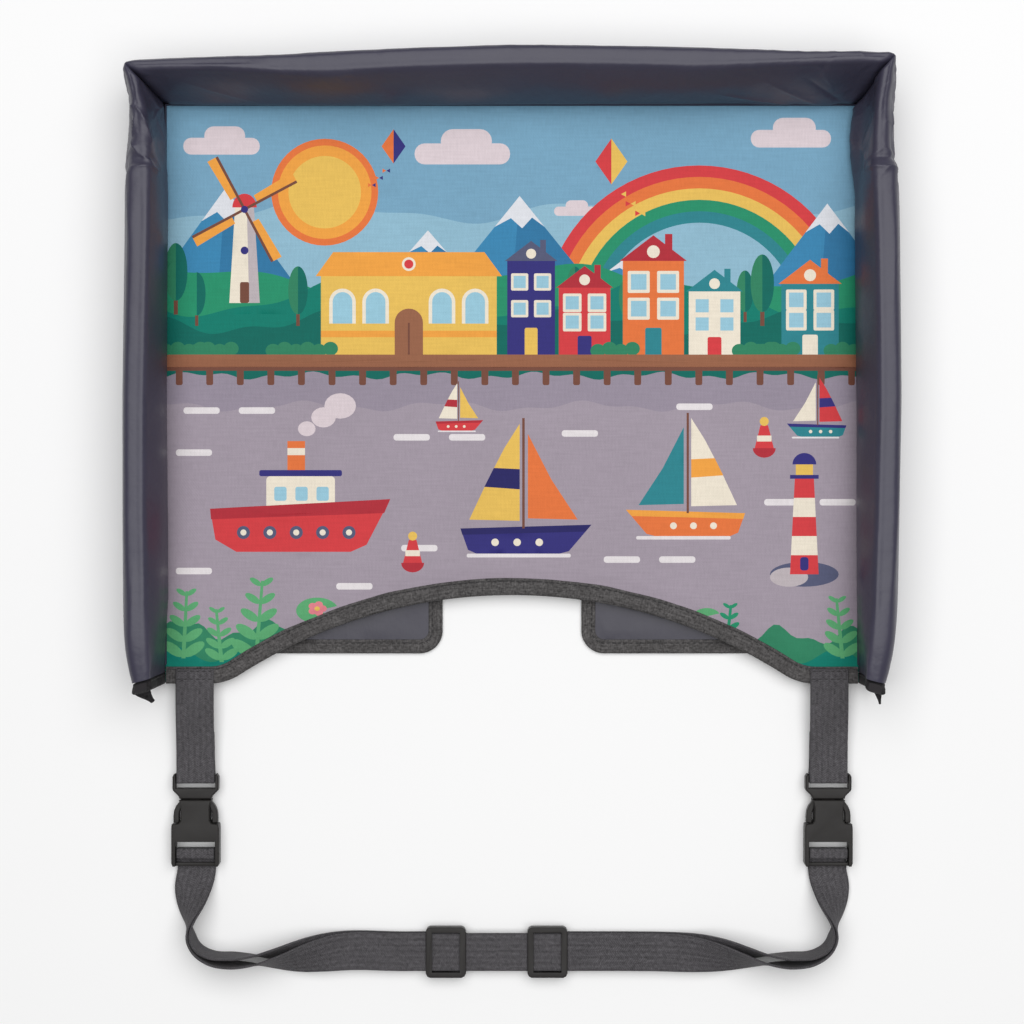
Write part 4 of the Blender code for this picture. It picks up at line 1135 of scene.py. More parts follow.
# How far each wall's top sags from its even lean: (place along the wall, millimetres).
SAG = {"left": ((-0.18, 1.6), (-0.15, 1.0), (-0.10, 0.0), (-0.04, 0.0), (0.0, 0.9), (0.05, 2.2),
                (0.09, 2.2), (0.115, 1.2), (0.132, 0.4)),
       "right": ((-0.19, -8.0), (-0.179, -7.2), (-0.172, -5.6), (-0.165, -4.6), (-0.15, -3.4),
                 (-0.10, -1.6), (-0.04, 0.0), (0.0, -0.4), (0.05, -1.4), (0.08, -2.6),
                 (0.10, -3.4), (0.132, -3.2)),
       "back": ((-0.195, -1.4), (-0.15, -1.9), (-0.11, -3.0), (-0.05, -1.6), (0.0, -0.6),
                (0.08, 0.0), (0.14, 0.6), (0.17, 2.6), (0.195, 3.2))}
STRAP_CLEAR_Y = -150 * MM       # in front of this only the top sags, so a folded wall clears the strap


def sagged(ring, word, place):
    """Shifts a ring's top as far as the wall sags there; place is its (x, y)."""
    x, y = place
    share = np.clip(ring[:, 2] - FOLD_Z, 0, None) / (WALL_TOP - FOLD_Z)
    across = sum(np.interp(y + d * MM, *zip(*SAG[word])) for d in (-9, -4, 0, 4, 9)) / 5
    along = sum(np.interp(x + d * MM, *zip(*SAG["back"])) for d in (-12, -5, 0, 5, 12)) / 5
    moved = ring.copy()
    bent = share ** (1 + ease((STRAP_CLEAR_Y - y) / (20 * MM)))
    moved[:, 0] += across * MM * bent * ease((HALF_W + 10 * MM - abs(x)) / (-150 * MM) + 1)
    moved[:, 1] += along * MM * share * ease((y - SIDE_REAR_Y) / CORNER_CLOTH)
    return moved


print("wall section:", len(wall_section(AROUND)), "points")

# %% Sleeves


def side_rings(side, inset=0.0, count=AROUND, rear=True, step=ROW_STEP):
    """Rings of a side wall from its pinched front end, to the mitre if rear is set."""
    stations = list(np.arange(SIDE_FRONT_Y + inset, SIDE_REAR_Y - step / 2, step)) + [SIDE_REAR_Y]
    word = "left" if side < 0 else "right"
    rings = []
    for y in stations:
        share = sin(pi / 2 * min(max((y - SIDE_FRONT_Y) / TAPER, 0.0), 1.0))
        thick = mix(LIP, WALL_THICK, share)
        ring = wall_section(count, inset, thick, mix(WALL_HEIGHT - LIP / 3, WALL_HEIGHT, share))
        ring[:, 0] -= (WALL_THICK - thick) * LIP_SHIFT
        ring = leaned(ring, CORNER_LEAN)
        slant = END_SLANT * (1 - ease((y - SIDE_FRONT_Y) / TAPER))
        ring = np.array([(side * (HALF_W + n), y - slant * n, z) for n, z in ring])
        rings.append(sagged(ring, word, (side * HALF_W, y)))
    body_rows = len(rings)
    steps = 4 * round(CORNER_CLOTH / step / 2) if rear else 0
    for i in range(1, steps + 1):
        share = i / steps
        slack = 2.6 * MM * sin(pi * share) ** 0.6
        ring = wall_section(count, inset, WALL_THICK - slack, WALL_HEIGHT - slack * 0.8)
        ring[:, 0] -= slack / 2
        ring = leaned(pinched(ring, CORNER_PINCH * share ** 1.5), CORNER_LEAN)
        ring = np.array([(side * (HALF_W + n), mix(SIDE_REAR_Y, BACK_Y + n - MITRE_GAP, share), z)
                         for n, z in ring])
        rings.append(sagged(ring, word, (side * HALF_W, mix(SIDE_REAR_Y, BACK_Y, share))))
    return np.array(rings), body_rows


def back_rings(inset=0.0, count=AROUND, step=ROW_STEP):
    """Rings of the back wall from the left mitre to the right, bowed out between them."""
    steps = round(2 * HALF_W / step)
    rings = []
    for i in range(steps + 1):
        share = 2 * i / steps - 1
        pinch = CORNER_PINCH * ease((abs(share) - 0.45) / 0.55) ** 0.8
        ring = leaned(pinched(wall_section(count, inset), pinch), mix(BACK_LEAN, CORNER_LEAN, share * share))
        ring = np.array([(share * (HALF_W + n - MITRE_GAP), BACK_Y + n, z) for n, z in ring])
        rings.append(sagged(ring, "left" if share < 0 else "right", (share * HALF_W, BACK_Y)))
    return np.array(rings)


print("side sleeve:", side_rings(-1)[0].shape, "back sleeve:", back_rings().shape)

# %% [markdown]
# ### Letting the spare cloth settle
#
# The solver works best on things the size of a coat, so the sleeve is simulated ten times
# too large. Its bottom edge, which is sewn to the tray, and its ends are pinned. The rest
# grows by a few per cent, more where there is no foam, and buckles. The foam is a
# collision body that keeps the cloth from sinking in.

# %% Cloth simulation of a sleeve
SIM_SCALE = 10.0
SIM_FRAMES = 24
SEWN_SHARE = 0.16       # the part of a sleeve's height that is pinned
MOST_PROUD = 3.2 * MM
CORE_INSET = 1.2 * MM
CLOTH = {"quality": 6, "mass": 0.25, "tension_stiffness": 18, "compression_stiffness": 18,
         "shear_stiffness": 6, "bending_stiffness": 0.35, "air_damping": 2.0, "use_pressure": True,
         "uniform_pressure_force": 1.2, "vertex_group_mass": "pins", "vertex_group_shrink": "spare",
         "shrink_min": 0.0, "shrink_max": -0.16}
CONTACT = {"distance_min": 0.004, "collision_quality": 3, "use_self_collision": False}
FOAM_CONTACT = {"thickness_outer": 0.004, "thickness_inner": 0.05, "cloth_friction": 2.0}


def give(thing, settings):
    for label, value in settings.items():
        setattr(thing, label, value)


def plain_tube(name, rings, scale=1.0):
    """A bare, open tube mesh for the simulation."""
    rows, count, _ = rings.shape
    faces = [[r * count + c, r * count + (c + 1) % count, (r + 1) * count + (c + 1) % count,
              (r + 1) * count + c] for r in range(rows - 1) for c in range(count)]
    mesh = bpy.data.meshes.new(name)
    mesh.from_pydata((rings.reshape(-1, 3) * scale).tolist(), [], faces)
    return add_object(name, mesh)


def settle(rings, core, pins, spare):
    """Simulates a sleeve over its core; pins and spare are weights for each point."""
    sleeve = plain_tube("sleeve_sim", rings, SIM_SCALE)
    foam = plain_tube("core_sim", core, SIM_SCALE)
    foam.modifiers.new("Collision", "COLLISION")
    give(foam.collision, FOAM_CONTACT)
    for label, weights in (("pins", pins), ("spare", spare)):
        group = sleeve.vertex_groups.new(name=label)
        for index, weight in enumerate(weights.reshape(-1)):
            if weight > 0:
                group.add([index], float(weight), "REPLACE")
    modifier = sleeve.modifiers.new("Cloth", "CLOTH")
    give(modifier.settings, CLOTH)
    modifier.settings.effector_weights.gravity = 0.0
    give(modifier.collision_settings, CONTACT)
    modifier.point_cache.frame_start = 1
    modifier.point_cache.frame_end = SIM_FRAMES
    for number in range(1, SIM_FRAMES + 1):
        scene.frame_set(number)
    done = sleeve.evaluated_get(bpy.context.evaluated_depsgraph_get())
    flat = np.empty(len(done.data.vertices) * 3, np.float32)
    done.data.vertices.foreach_get("co", flat)
    bpy.data.objects.remove(sleeve)
    bpy.data.objects.remove(foam)
    scene.frame_set(1)
    return flat.reshape(rings.shape).astype(float) / SIM_SCALE


def settled(rings, core, pinned, spare, mirror=1.0):
    """A sleeve's rings after the simulation, no point moved more than MOST_PROUD."""
    pins = ((rings[:, :, 2] - WALL_BOTTOM) / WALL_HEIGHT < SEWN_SHARE).astype(float)
    pins[pinned] = 1.0
    move = settle(rings * mirror, core * mirror, pins, spare) * mirror - rings
    length = np.linalg.norm(move, axis=2, keepdims=True)
    return rings + move * np.minimum(1.0, MOST_PROUD / np.maximum(length, 1e-9))


def settled_side(side):
    rings, rows = side_rings(side)
    y = rings[:, :, 1]
    corner = np.exp(-((y - mix(SIDE_REAR_Y, BACK_Y, 0.35)) / (30 * MM)) ** 2)
    front = np.exp(-((y - SIDE_FRONT_Y) / (24 * MM)) ** 2)
    spare = 0.12 + 0.55 * corner + 0.45 * front
    # The right sleeve is simulated as a left one, so that the pressure pushes outwards.
    mirror = np.array((-side, 1.0, 1.0))
    return settled(rings, side_rings(side, CORE_INSET)[0], [0, 1, -1], spare, mirror), rows


def settled_back():
    rings = back_rings()
    ends = (np.abs(rings[:, :, 0]) - HALF_W + 34 * MM) / (34 * MM)
    return settled(rings, back_rings(CORE_INSET), [0, -1], 0.12 + 0.45 * ease(ends))


sleeves = {word: settled_side(side) for word, side in SIDES}
back_sleeve = settled_back()
print("sleeves settled,", SIM_FRAMES, "frames each")

# %% [markdown]
# ### Seams and creases
#
# At a mitre the two sleeves are pulled into the seam, so their ends round inwards and a
# dark valley forms. The foot of the inner face bulges a little over the picture. A few sharp
# creases by the corners, which the simulation is too coarse for, are laid on one by one:
# each is a line on the unrolled sleeve, with a height and a width.

# %% Seams and creases
SEAM_PULL = 2.6 * MM
SEAM_REACH = 8.0 * MM
# Each row: from (millimetres along the wall, share of the way round it) to the same two,
# then the height, negative in a valley, and the width, both in millimetres.
CREASES = {
    "left": ((106, 0.46, 94.3, 0.42, 1.4, 1.2), (94.3, 0.42, 86.3, 0.465, 1.3, 1.2),
             (86.3, 0.465, 81.3, 0.54, 1.1, 1.1), (110.6, 0.465, 107.7, 0.50, 1.0, 1.0),
             (107.7, 0.50, 100.9, 0.52, 1.2, 1.1), (100.9, 0.52, 92.6, 0.545, 1.1, 1.1),
             (110.6, 0.40, 110.6, 0.465, 0.9, 1.0), (104, 0.435, 96, 0.405, -1.4, 1.8),
             (79.3, 0.42, 80, 0.53, 1.5, 1.3), (80, 0.53, 77.3, 0.62, 1.4, 1.3),
             (83.5, 0.40, 84.5, 0.60, -1.0, 2.0), (72, 0.40, 40, 0.43, 0.5, 2.6),
             (-165, 0.44, -120, 0.46, 0.5, 2.4)),
    "right": ((78, 0.28, 80, 0.60, 1.4, 1.6), (84, 0.26, 85, 0.58, -1.3, 1.9),
              (84, 0.40, 74, 0.50, 0.8, 1.4), (116, 0.37, 92, 0.40, 0.8, 1.4),
              (60, 0.42, 0, 0.45, 0.5, 2.4), (-60, 0.40, -140, 0.43, 0.5, 2.4)),
    "back": ((105, 0.70, 150, 0.84, 1.1, 1.8), (115, 0.80, 158, 0.87, 0.8, 1.6),
             (130, 0.62, 164, 0.84, 0.9, 2.0), (150, 0.60, 172, 0.80, -0.9, 1.8),
             (-160, 0.50, -120, 0.47, 0.6, 2.2), (-168, 0.60, -130, 0.78, 0.6, 2.6),
             (-20, 0.40, 30, 0.43, 0.4, 2.6)),
}
# How far the foot of each wall bulges over the picture: (place along it, millimetres).
FOOT = {"left": ((-0.18, 0.2), (-0.165, 0.2), (-0.14, 1.4), (-0.09, 0.8), (-0.037, 0.3),
                 (0.03, 0.6), (0.068, 1.2), (0.100, 0.9), (0.118, 0.8)),
        "right": ((-0.18, 0.1), (-0.15, 0.3), (-0.037, 0.5), (0.016, 1.2), (0.05, 1.5),
                  (0.070, 1.7), (0.085, 3.6), (0.102, 5.0), (0.118, 4.0)),
        "back": ((-0.165, 1.5), (-0.085, 1.2), (0.0, 0.5), (0.07, 0.2), (0.14, 0.3), (0.165, 1.6))}


def pulled_to_seam(rings, ends):
    """Draws a sleeve's ends in towards the middle of their ring, as a tight seam does."""
    moved = rings.copy()
    inward = unit(rings.mean(axis=1, keepdims=True) - rings)
    for end in ends:
        share = np.clip(1 - np.linalg.norm(rings - rings[end][None], axis=2) / SEAM_REACH, 0, 1)
        moved += inward[end] * (SEAM_PULL * (1 - np.sqrt(1 - share ** 2 * 0.985)))[..., None]
    return moved


def unrolled(rings, axis):
    """Where each point lies on the unrolled sleeve: along the wall, and around it."""
    rows, count, _ = rings.shape
    row = rings[rows // 2]
    perimeter = np.linalg.norm(np.roll(row, -1, axis=0) - row, axis=1).sum()
    around = np.broadcast_to(np.arange(count) / count * perimeter, (rows, count))
    return rings[:, :, axis], around, perimeter


def crease_lift(rings, axis, lines):
    """Height of the listed creases."""
    along, around, perimeter = unrolled(rings, axis)
    lift = np.zeros(along.shape)
    for along_a, round_a, along_b, round_b, height, width in lines:
        a = np.array((along_a * MM, round_a * perimeter))
        way = np.array((along_b * MM, round_b * perimeter)) - a
        spot = np.stack([along, around], axis=2) - a
        share = np.clip((spot @ way) / (way @ way), 0, 1)
        away = np.linalg.norm(spot - share[..., None] * way, axis=2)
        taper = np.sin(pi * np.clip(share, 0.05, 0.95)) ** 0.8
        lift += height * MM * taper * np.exp(-(away / (width * MM)) ** 1.25)
    return lift


def crumple_lift(rings, axis, mask, seed, height=1.5 * MM, size=15 * MM):
    """Nearly flat facets with sharp ridges between them, where the mask allows them."""
    along, around, _ = unrolled(rings, axis)
    lift = np.zeros(along.shape)
    for r, c in zip(*np.nonzero(mask > 0.02)):
        u, v = along[r, c], around[r, c]
        bend = size * 0.3 * wobble(u, v, 0, size, seed + 5)
        apart, _ = noise.voronoi(Vector((u + bend, 0.7 * v - bend, seed * size)) / size)
        ridge = 1 - min((apart[1] - apart[0]) / 0.5, 1.0)
        strength = 0.7 + 0.8 * wobble(u, v, 0, size * 1.6, seed + 9)
        lift[r, c] = height * (ridge * strength + 0.5 * wobble(u, v, 0, size * 1.8, seed) - 0.15)
    return lift * mask


def overhang(rings, axis, place):
    """The foot of an inner face bulges over the picture, unevenly along the wall."""
    along, around, perimeter = unrolled(rings, axis)
    z = rings[:, :, 2]
    low = np.exp(-((z - FOLD_Z - 5 * MM) / (7 * MM)) ** 2) * ease((z - FOLD_Z) / (3 * MM))
    spots = along.mean(axis=1)
    uneven = 1.0 + 0.35 * waves([(u, 0) for u in spots], 0.022, 2.0 + axis)
    reach = np.interp(spots, *zip(*FOOT[place])) * MM * uneven
    return low * reach[:, None] * (around > perimeter / 2)


def shaped(rings, place, mask, ends, seed):
    """A settled sleeve with creases, crumples and its end seams."""
    axis = 0 if place == "back" else 1
    rings = finer(finer(rings))
    lift = crease_lift(rings, axis, CREASES[place]) + overhang(rings, axis, place)
    lift += crumple_lift(rings, axis, mask(rings), seed)
    for end in ends:
        lift *= ease(np.linalg.norm(rings - rings[end][None], axis=2) / (5 * MM))
    lift *= ease((rings[:, :, 2] - 6 * MM) / (8 * MM))
    return pulled_to_seam(rings + ring_normals(rings) * lift[..., None], ends)


print("creases:", {place: len(rows) for place, rows in CREASES.items()})

# %% Walls, corner cloth and their foam
FOAM_INSET = 2.4 * MM
FOAM_AROUND = 24
FOAM_STEP = 12 * MM
BLEND_SHORT = 0.5 * MM


def side_mask(rings):
    y = rings[:, :, 1]
    return ease((y - SIDE_REAR_Y) / (5 * MM)) * 0.9 + 0.25 * np.exp(-((y - END_Y) / (16 * MM)) ** 2)


def back_mask(rings):
    ends = np.abs(rings[:, :, 0]) - HALF_W + 45 * MM
    return 0.55 * ease(ends / (40 * MM)) * (rings[:, :, 0] > 0) + 0.12


def divided(rings, *parts):
    """Sleeves cut from one tube, their shading unbroken: (name, first row, last row, caps)."""
    normals = ring_normals(rings)
    return [tube(name, rings[low:high + 1], finish["wall"], SLEEVE, caps, normals[low:high + 1],
                 start=low * ROW_STEP / 4) for name, low, high, caps in parts]


def corner_cloth(piece, node, turning=None):
    """Cloth without foam, its CAD node hidden: with turning given it is baked in place, else it rides on the
    tray.
    """
    if turning:
        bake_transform(piece)
    else:
        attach(piece, "tray")
    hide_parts(node)


def make_side_wall(word, side):
    """The side sleeve, divided where the foam ends and half way round the corner."""
    rings, rows = sleeves[word]
    rings = shaped(rings, word, side_mask, [-1], 3.0 + side)
    first, last = 4 * (rows - 1), len(rings) - 1
    half = (first + last) // 2
    sleeve, front, rear = divided(rings, (f"{word}_sleeve", 0, first, (True, False)),
                                  (f"{word}_corner_front", first, half, (False, False)),
                                  (f"{word}_corner_rear", half, last, (False, False)))
    dress(sleeve, f"{word}_wall", "wall_cloth", f"{word}_wall_cover")
    x = side * HALF_W
    corner_cloth(front, f"{word}_corner_gusset",
                 (f"{word}_wall", "tray", (x, SIDE_REAR_Y, 0), (x, SIDE_REAR_Y + SIDE_TURN, 0)))
    corner_cloth(rear, f"{word}_corner_gusset")
    return sleeve


def make_back_wall():
    """The back sleeve: its middle rides on the back wall, and its two ends are corner cloth."""
    rings = shaped(back_sleeve, "back", back_mask, [0, -1], 11.0)
    last = len(rings) - 1
    cut = round(last * (CORNER_TURN + WALL_THICK) / (2 * HALF_W + 2 * WALL_THICK))
    open_ends = (False, False)
    left, middle, right = divided(rings, ("left_back_corner", 0, cut, open_ends),
                                  ("back_sleeve", cut, last - cut, open_ends),
                                  ("right_back_corner", last - cut, last, open_ends))
    dress(middle, "back_wall", "wall_cloth", "back_wall_cover")
    for corner, side in ((left, -1), (right, 1)):
        corner_cloth(corner, "back_wall_cover",
                     ("back_wall", "tray", (side * (HALF_W - CORNER_TURN), BACK_Y, 0),
                      (side * (HALF_W - BLEND_SHORT), BACK_Y, 0)))
    return middle


def make_core(body, rings):
    """The foam strip inside a wall."""
    core = tube(f"{body}_foam", rings, finish["foam"], angle=50)
    dress(core, body, "foam", f"{body}_core")


walls = [make_side_wall(word, side) for word, side in SIDES] + [make_back_wall()]
ends_off = round(CORNER_TURN / FOAM_STEP) + 1
make_core("back_wall", back_rings(FOAM_INSET, FOAM_AROUND, FOAM_STEP)[ends_off:-ends_off])
for word, side in SIDES:
    make_core(f"{word}_wall", side_rings(side, FOAM_INSET, FOAM_AROUND, False, FOAM_STEP)[0][1:])
print("walls:", [len(wall.data.polygons) for wall in walls])

# %% [markdown]
# ### The welt in the crease
#
# The edges of the panel and of the wall covers are sewn together and stand up in the
# crease between them. Upright walls hide this welt, and under a folded wall it closes the
# slit. It is a small flat oval, carried along three edges and mitred at the rear corners.

# %% Crease welt
WELT_INSET = 0.25 * MM
WELT_THICK = 1.1 * MM
WELT_HEIGHT = 2.6 * MM


def make_welt():
    side_x = HALF_W - WELT_INSET
    back_y = BACK_Y - WELT_INSET
    near = np.linspace(FRONT_Y + BINDING_LEG + MM, back_y - 2 * MM, 30)
    rear = np.linspace(2 * MM - side_x, side_x - 2 * MM, 36)
    line = ([(-side_x, y) for y in near] + [(-side_x, back_y)] + [(x, back_y) for x in rear]
            + [(side_x, back_y)] + [(side_x, y) for y in near[::-1]])
    outs = [(-1, 0)] * 30 + [(-1, 1)] + [(0, 1)] * 36 + [(1, 1)] + [(1, 0)] * 30
    middle = FOLD_Z - 0.1 * MM - WELT_HEIGHT / 2
    oval = np.array(arc(0, middle, WELT_THICK / 2, WELT_HEIGHT / 2, 0, 360, 12)[:-1])
    welt = tube("crease_welt", sweep(np.array(line), np.array(outs), oval), finish["wall"])
    return dress(welt, "tray", "wall_cloth")


crease_welt = make_welt()
print("welt:", len(crease_welt.data.polygons), "faces")

# %% [markdown]
# ### Taped front ends
#
# The front end of each side wall is pinched flat and bound with the same tape as the front
# edge, its colour painted darker here as the shade in the fold. Its spare end is left
# hanging, as a short tail. The bound end is a stack of rounded rings up the lip, and the
# tail is a small ribbon.

# %% Wall end tapes
TAPE_HALF = (LIP + 0.6 * MM) / 2
TAPE_MIDDLE = WALL_INNER + WALL_THICK / 2 - (WALL_THICK - LIP) * LIP_SHIFT
TAPE_ROUGH = 0.5 * MM
TAIL_Z = 39 * MM
TAIL_STEPS = 10


def at_lip(n, y, z, word, side):
    """Points on the leaning, slanted lip: n is the distance from the tray's edge."""
    n = n + CORNER_LEAN * np.clip(z - FOLD_Z, 0, None) / (WALL_TOP - FOLD_Z)
    return sagged(np.column_stack([side * (HALF_W + n), y - END_SLANT * n, z]), word,
                  (side * HALF_W, SIDE_FRONT_Y))


def end_tape_rings(word, side):
    """Rings up the bound lip, wider where the needle has not drawn it in."""
    rings = []
    turns = 2 * pi * np.arange(32) / 32
    a = np.abs(np.cos(turns)) ** 0.5 * np.sign(np.cos(turns))
    b = np.abs(np.sin(turns)) ** 0.5 * np.sign(np.sin(turns))
    groove = TAPE_ROUGH * np.exp(-((b - 0.5) / 0.16) ** 2)
    for z in np.concatenate([np.linspace(1.2 * MM, 41 * MM, 34), np.array((42.5, 43.6, 44.2)) * MM]):
        shrink = 1 - 0.35 * ease((z - 40.5 * MM) / (3.7 * MM))
        rough = TAPE_ROUGH * np.array([wobble(turn * 0.003, z, 0, 0.007, 3.0 + side) for turn in turns])
        n = TAPE_MIDDLE + (TAPE_HALF - groove + rough) * a * shrink
        y = SIDE_FRONT_Y - 0.2 * MM + TAPE_DEPTH / 2 * (b * shrink - 1) + 0.4 * rough
        rings.append(at_lip(n, y, np.full(32, z), word, side))
    return np.array(rings)


def make_end_tape(word, side, way, length, wide):
    """The bound lip and its tail, which narrows to a point."""
    start = np.array((side * (HALF_W + TAPE_MIDDLE + 3.4 * MM), SIDE_FRONT_Y - TAPE_DEPTH, TAIL_Z))
    start = sagged(start[None], word, (side * HALF_W, SIDE_FRONT_Y))[0]
    way = unit(np.array(way))
    across = unit(np.cross(way, (0, 0, 1)))
    face = np.cross(across, way)
    rings = []
    for share in np.arange(TAIL_STEPS + 1) / TAIL_STEPS:
        half = wide / 2 * (1 - 0.72 * ease(share))
        centre = start + way * length * share - np.array((0, 0, 4 * MM)) * share * share
        rings.append([centre + across * half * cos(turn)
                      + face * (0.5 * MM * sin(turn) - 1.1 * MM * cos(turn) ** 2 * (1 - 0.5 * share))
                      for turn in np.linspace(0, 2 * pi, 12, endpoint=False)])
    # the lip and its tail take the darker end tape, whose colour is painted shade
    for name, tape in (("end_tape", end_tape_rings(word, side)), ("tape_tail", np.array(rings))):
        dress(tube(f"{word}_{name}", tape, finish["end_tape"], angle=60), f"{word}_wall",
              "binding_tape", f"{word}_wall_end_tape")


make_end_tape("left", -1, (0.55, -0.75, -0.25), 9.5 * MM, 9 * MM)
make_end_tape("right", 1, (0.25, -0.90, -0.25), 9 * MM, 4.5 * MM)
print("wall end tapes done")

# %% [markdown]
# ## The front binding
#
# A heathered tape is folded over the front edge and sewn down. It could be a bevelled
# curve, but then its two legs could not differ. A C-shaped ring is carried along the edge
# line instead, its top leg slightly domed, with a groove where the needle pulls it down,
# and random dimples where the cloth under it puckers.

# %% Front binding
SEAM_SETBACK = 7.4 * MM
TAPE_SECTION = [(-9.0, 7.95), (-9.0, 8.5), (-8.75, 8.85), (-8.2, 8.85), (-7.4, 8.15), (-6.6, 8.75),
                (-5.4, 8.95), (-4.0, 9.05), (-2.6, 9.05), (-1.5, 8.9), (-0.7, 8.55), (-0.15, 8.0),
                (0.0, 7.0), (0.0, 5.0), (-0.15, 4.0), (-0.7, 3.3), (-1.6, 2.92), (-3.0, 2.8),
                (-8.3, 2.85), (-9.0, 3.1), (-9.0, 3.6), (-3.0, 3.7), (-1.6, 4.0), (-1.2, 4.6),
                (-1.2, 7.2), (-1.6, 7.75), (-3.0, 7.92)]
TAPE_TOP = 7.9 * MM     # above this the section is its top leg
TAPE_BACK = -5.5 * MM   # from here back the top leg frays and has no dimples
DIMPLE_SIZE = 6.5 * MM
ROCK_SIZE = 10 * MM
FRAY_SIZE = 18 * MM
DIMPLE = 0.55 * MM
ROCK = 0.12 * MM
FRAY = 0.35 * MM


def make_binding():
    points, outs = front_edge(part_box("front_binding")[1].x)
    n, z = resample(np.array(TAPE_SECTION) * MM, 64, closed=True).T
    back = ease((TAPE_BACK - n) / (3 * MM))
    top = 1.0 * (z > TAPE_TOP)
    dimple = DIMPLE * np.maximum(waves(points, DIMPLE_SIZE, 7.0) - 0.05, 0)[:, None]
    rock = ROCK * waves(points, ROCK_SIZE, 2.0)[:, None]
    fray = FRAY * waves(points, FRAY_SIZE, 4.0)[:, None]
    dip = top * (dimple * (1 - back) * ease(-n / (2 * MM)) + rock * ease(-n / MM))
    section = np.stack([n + fray * back, z - np.maximum(dip, -ROCK)], axis=2)
    tape = tube("front_binding_tape", sweep(points, outs, section), finish["tape"], angle=60)
    return dress(tape, "tray", "binding_tape", "front_binding")


front_tape = make_binding()
print("binding:", len(front_tape.data.polygons), "faces")

# %% [markdown]
# ## The flaps
#
# Two padded flaps hang from the front edge of the lap pad and cover its corners. Each is a
# double cloth bound with the same tape on three sides. The cloth is a flat cut-out with a
# little swell; the tape is the C-section again, carried round the rounded outline.

# %% Flaps
FLAP_CORNER = 12 * MM
FLAP_STEP = 1.5 * MM
FLAP_SEAM = 5.5 * MM
FLAP_SECTION = [(-7.4, 1.85), (-7.35, 2.25), (-7.0, 2.55), (-6.3, 2.5), (-5.5, 1.95), (-4.7, 2.42),
                (-3.8, 2.55), (-2.0, 2.5), (-0.8, 2.3), (-0.1, 1.8), (0.0, 1.35), (-0.1, 0.9),
                (-0.8, 0.35), (-2.0, 0.22), (-5.0, 0.22), (-7.0, 0.35), (-7.4, 0.7), (-5.0, 0.75),
                (-1.6, 0.8), (-1.2, 1.35), (-1.6, 1.8), (-5.0, 1.82)]
FLAP_TAPE_TOP = 1.8 * MM
FLAP_DIMPLE = 0.4 * MM
FLAP_DIMPLE_SIZE = 5.5 * MM
FLAP_CLOTH_INSET = 1.6 * MM
FLAP_CLOTH_Z = (1.02 * MM, 1.62 * MM)
PUFF_REACH = 6 * MM


def flap_outline(word, inset=0.0):
    """Three sides of a flap with rounded front corners, and the outward directions."""
    low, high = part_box(f"{word}_flap_binding")
    x0, y0 = low.x + inset, low.y + inset
    radius = FLAP_CORNER - inset
    middle = (low.x + high.x) / 2
    points = [(x0, y) for y in np.arange(high.y, y0 + radius, -FLAP_STEP)]
    outs = [(-1.0, 0.0)] * len(points)
    points += arc(x0 + radius, y0 + radius, radius, radius, 180, 270, 15)
    outs += arc(0, 0, 1, 1, 180, 270, 15)
    front = np.arange(x0 + radius + FLAP_STEP, middle, FLAP_STEP)
    points = np.array(points + [(x, y0) for x in front])
    outs = np.array(outs + [(0.0, -1.0)] * len(front))
    mirrored = points * (-1, 1) + (2 * middle, 0)
    return np.concatenate([points, mirrored[::-1]]), np.concatenate([outs, (outs * (-1, 1))[::-1]])


def make_flap(word):
    points, outs = flap_outline(word)
    n, z = resample(np.array(FLAP_SECTION) * MM, 52, closed=True).T
    dimple = FLAP_DIMPLE * np.maximum(waves(points, FLAP_DIMPLE_SIZE, 8.0), 0)[:, None]
    heights = z - dimple * (z > FLAP_TAPE_TOP) * ease(-n / MM)
    section = np.stack([np.broadcast_to(n, heights.shape), heights], axis=2)
    tape = tube(f"{word}_flap_tape", sweep(points, outs, section), finish["tape"], angle=60)
    dress(tape, f"{word}_flap", "binding_tape", f"{word}_flap_binding")
    outline = [tuple(p) for p in resample(flap_outline(word, FLAP_CLOTH_INSET)[0], 160)]
    places, tiles, _ = cut_cloth([outline], 3 * MM)
    puff = MM * ease((edge_distance(places, points) - FLAP_SEAM) / PUFF_REACH)
    swell = waves(places, 0.028, 6.0) + 0.7 * waves(places * (1, 0.4), 0.011, 3.0)
    low_side = FLAP_CLOTH_Z[0] - puff * (0.35 - 0.2 * swell)
    high_side = FLAP_CLOTH_Z[1] + puff * (0.55 + 0.5 * swell)
    # the flap cloth takes the darker copy of the wall nylon, whose colour is painted shade
    cloth = plate_between(f"{word}_flap_cloth", places, tiles, low_side, high_side, finish["flap"], 60)
    dress(cloth, f"{word}_flap", "wall_cloth", f"{word}_flap_panel")
    return tape


flap_tapes = [make_flap(word) for word, _ in SIDES]
print("flap tapes:", [len(tape.data.polygons) for tape in flap_tapes], "faces")

# %% [markdown]
# ## The webbing
#
# A strap is a flat ribbon that bends, loops round a bar and twists. It is modelled as a
# row of stations: a centre, a direction across the ribbon and one out of its face. The
# same ring is placed at every station. That keeps the width exact through the half twist,
# which a curve's tilt would not.

# %% Ribbons
STRAP_THICK = 1.1 * MM
STRAP_WIDTH = 20 * MM
WRAP = STRAP_THICK / 2 + 0.35 * MM
RIB_COUNT = 12
UP = np.array((0.0, 0.0, 1.0))


def ribbon(name, stations):
    """A woven ribbon with rounded selvedges; a station is (centre, across, face)."""
    half = STRAP_WIDTH / 2
    top = [(share * (half - STRAP_THICK * 0.35), STRAP_THICK / 2)
           for share in np.linspace(-1, 1, RIB_COUNT + 1)] + [(half, 0.0)]
    centres, across, faces = (np.array(column) for column in zip(*stations))
    rings = [centres + across * a + faces * b for a, b in top + [(-a, -b) for a, b in top]]
    return tube(name, np.stack(rings, axis=1), finish["webbing"], angle=45)


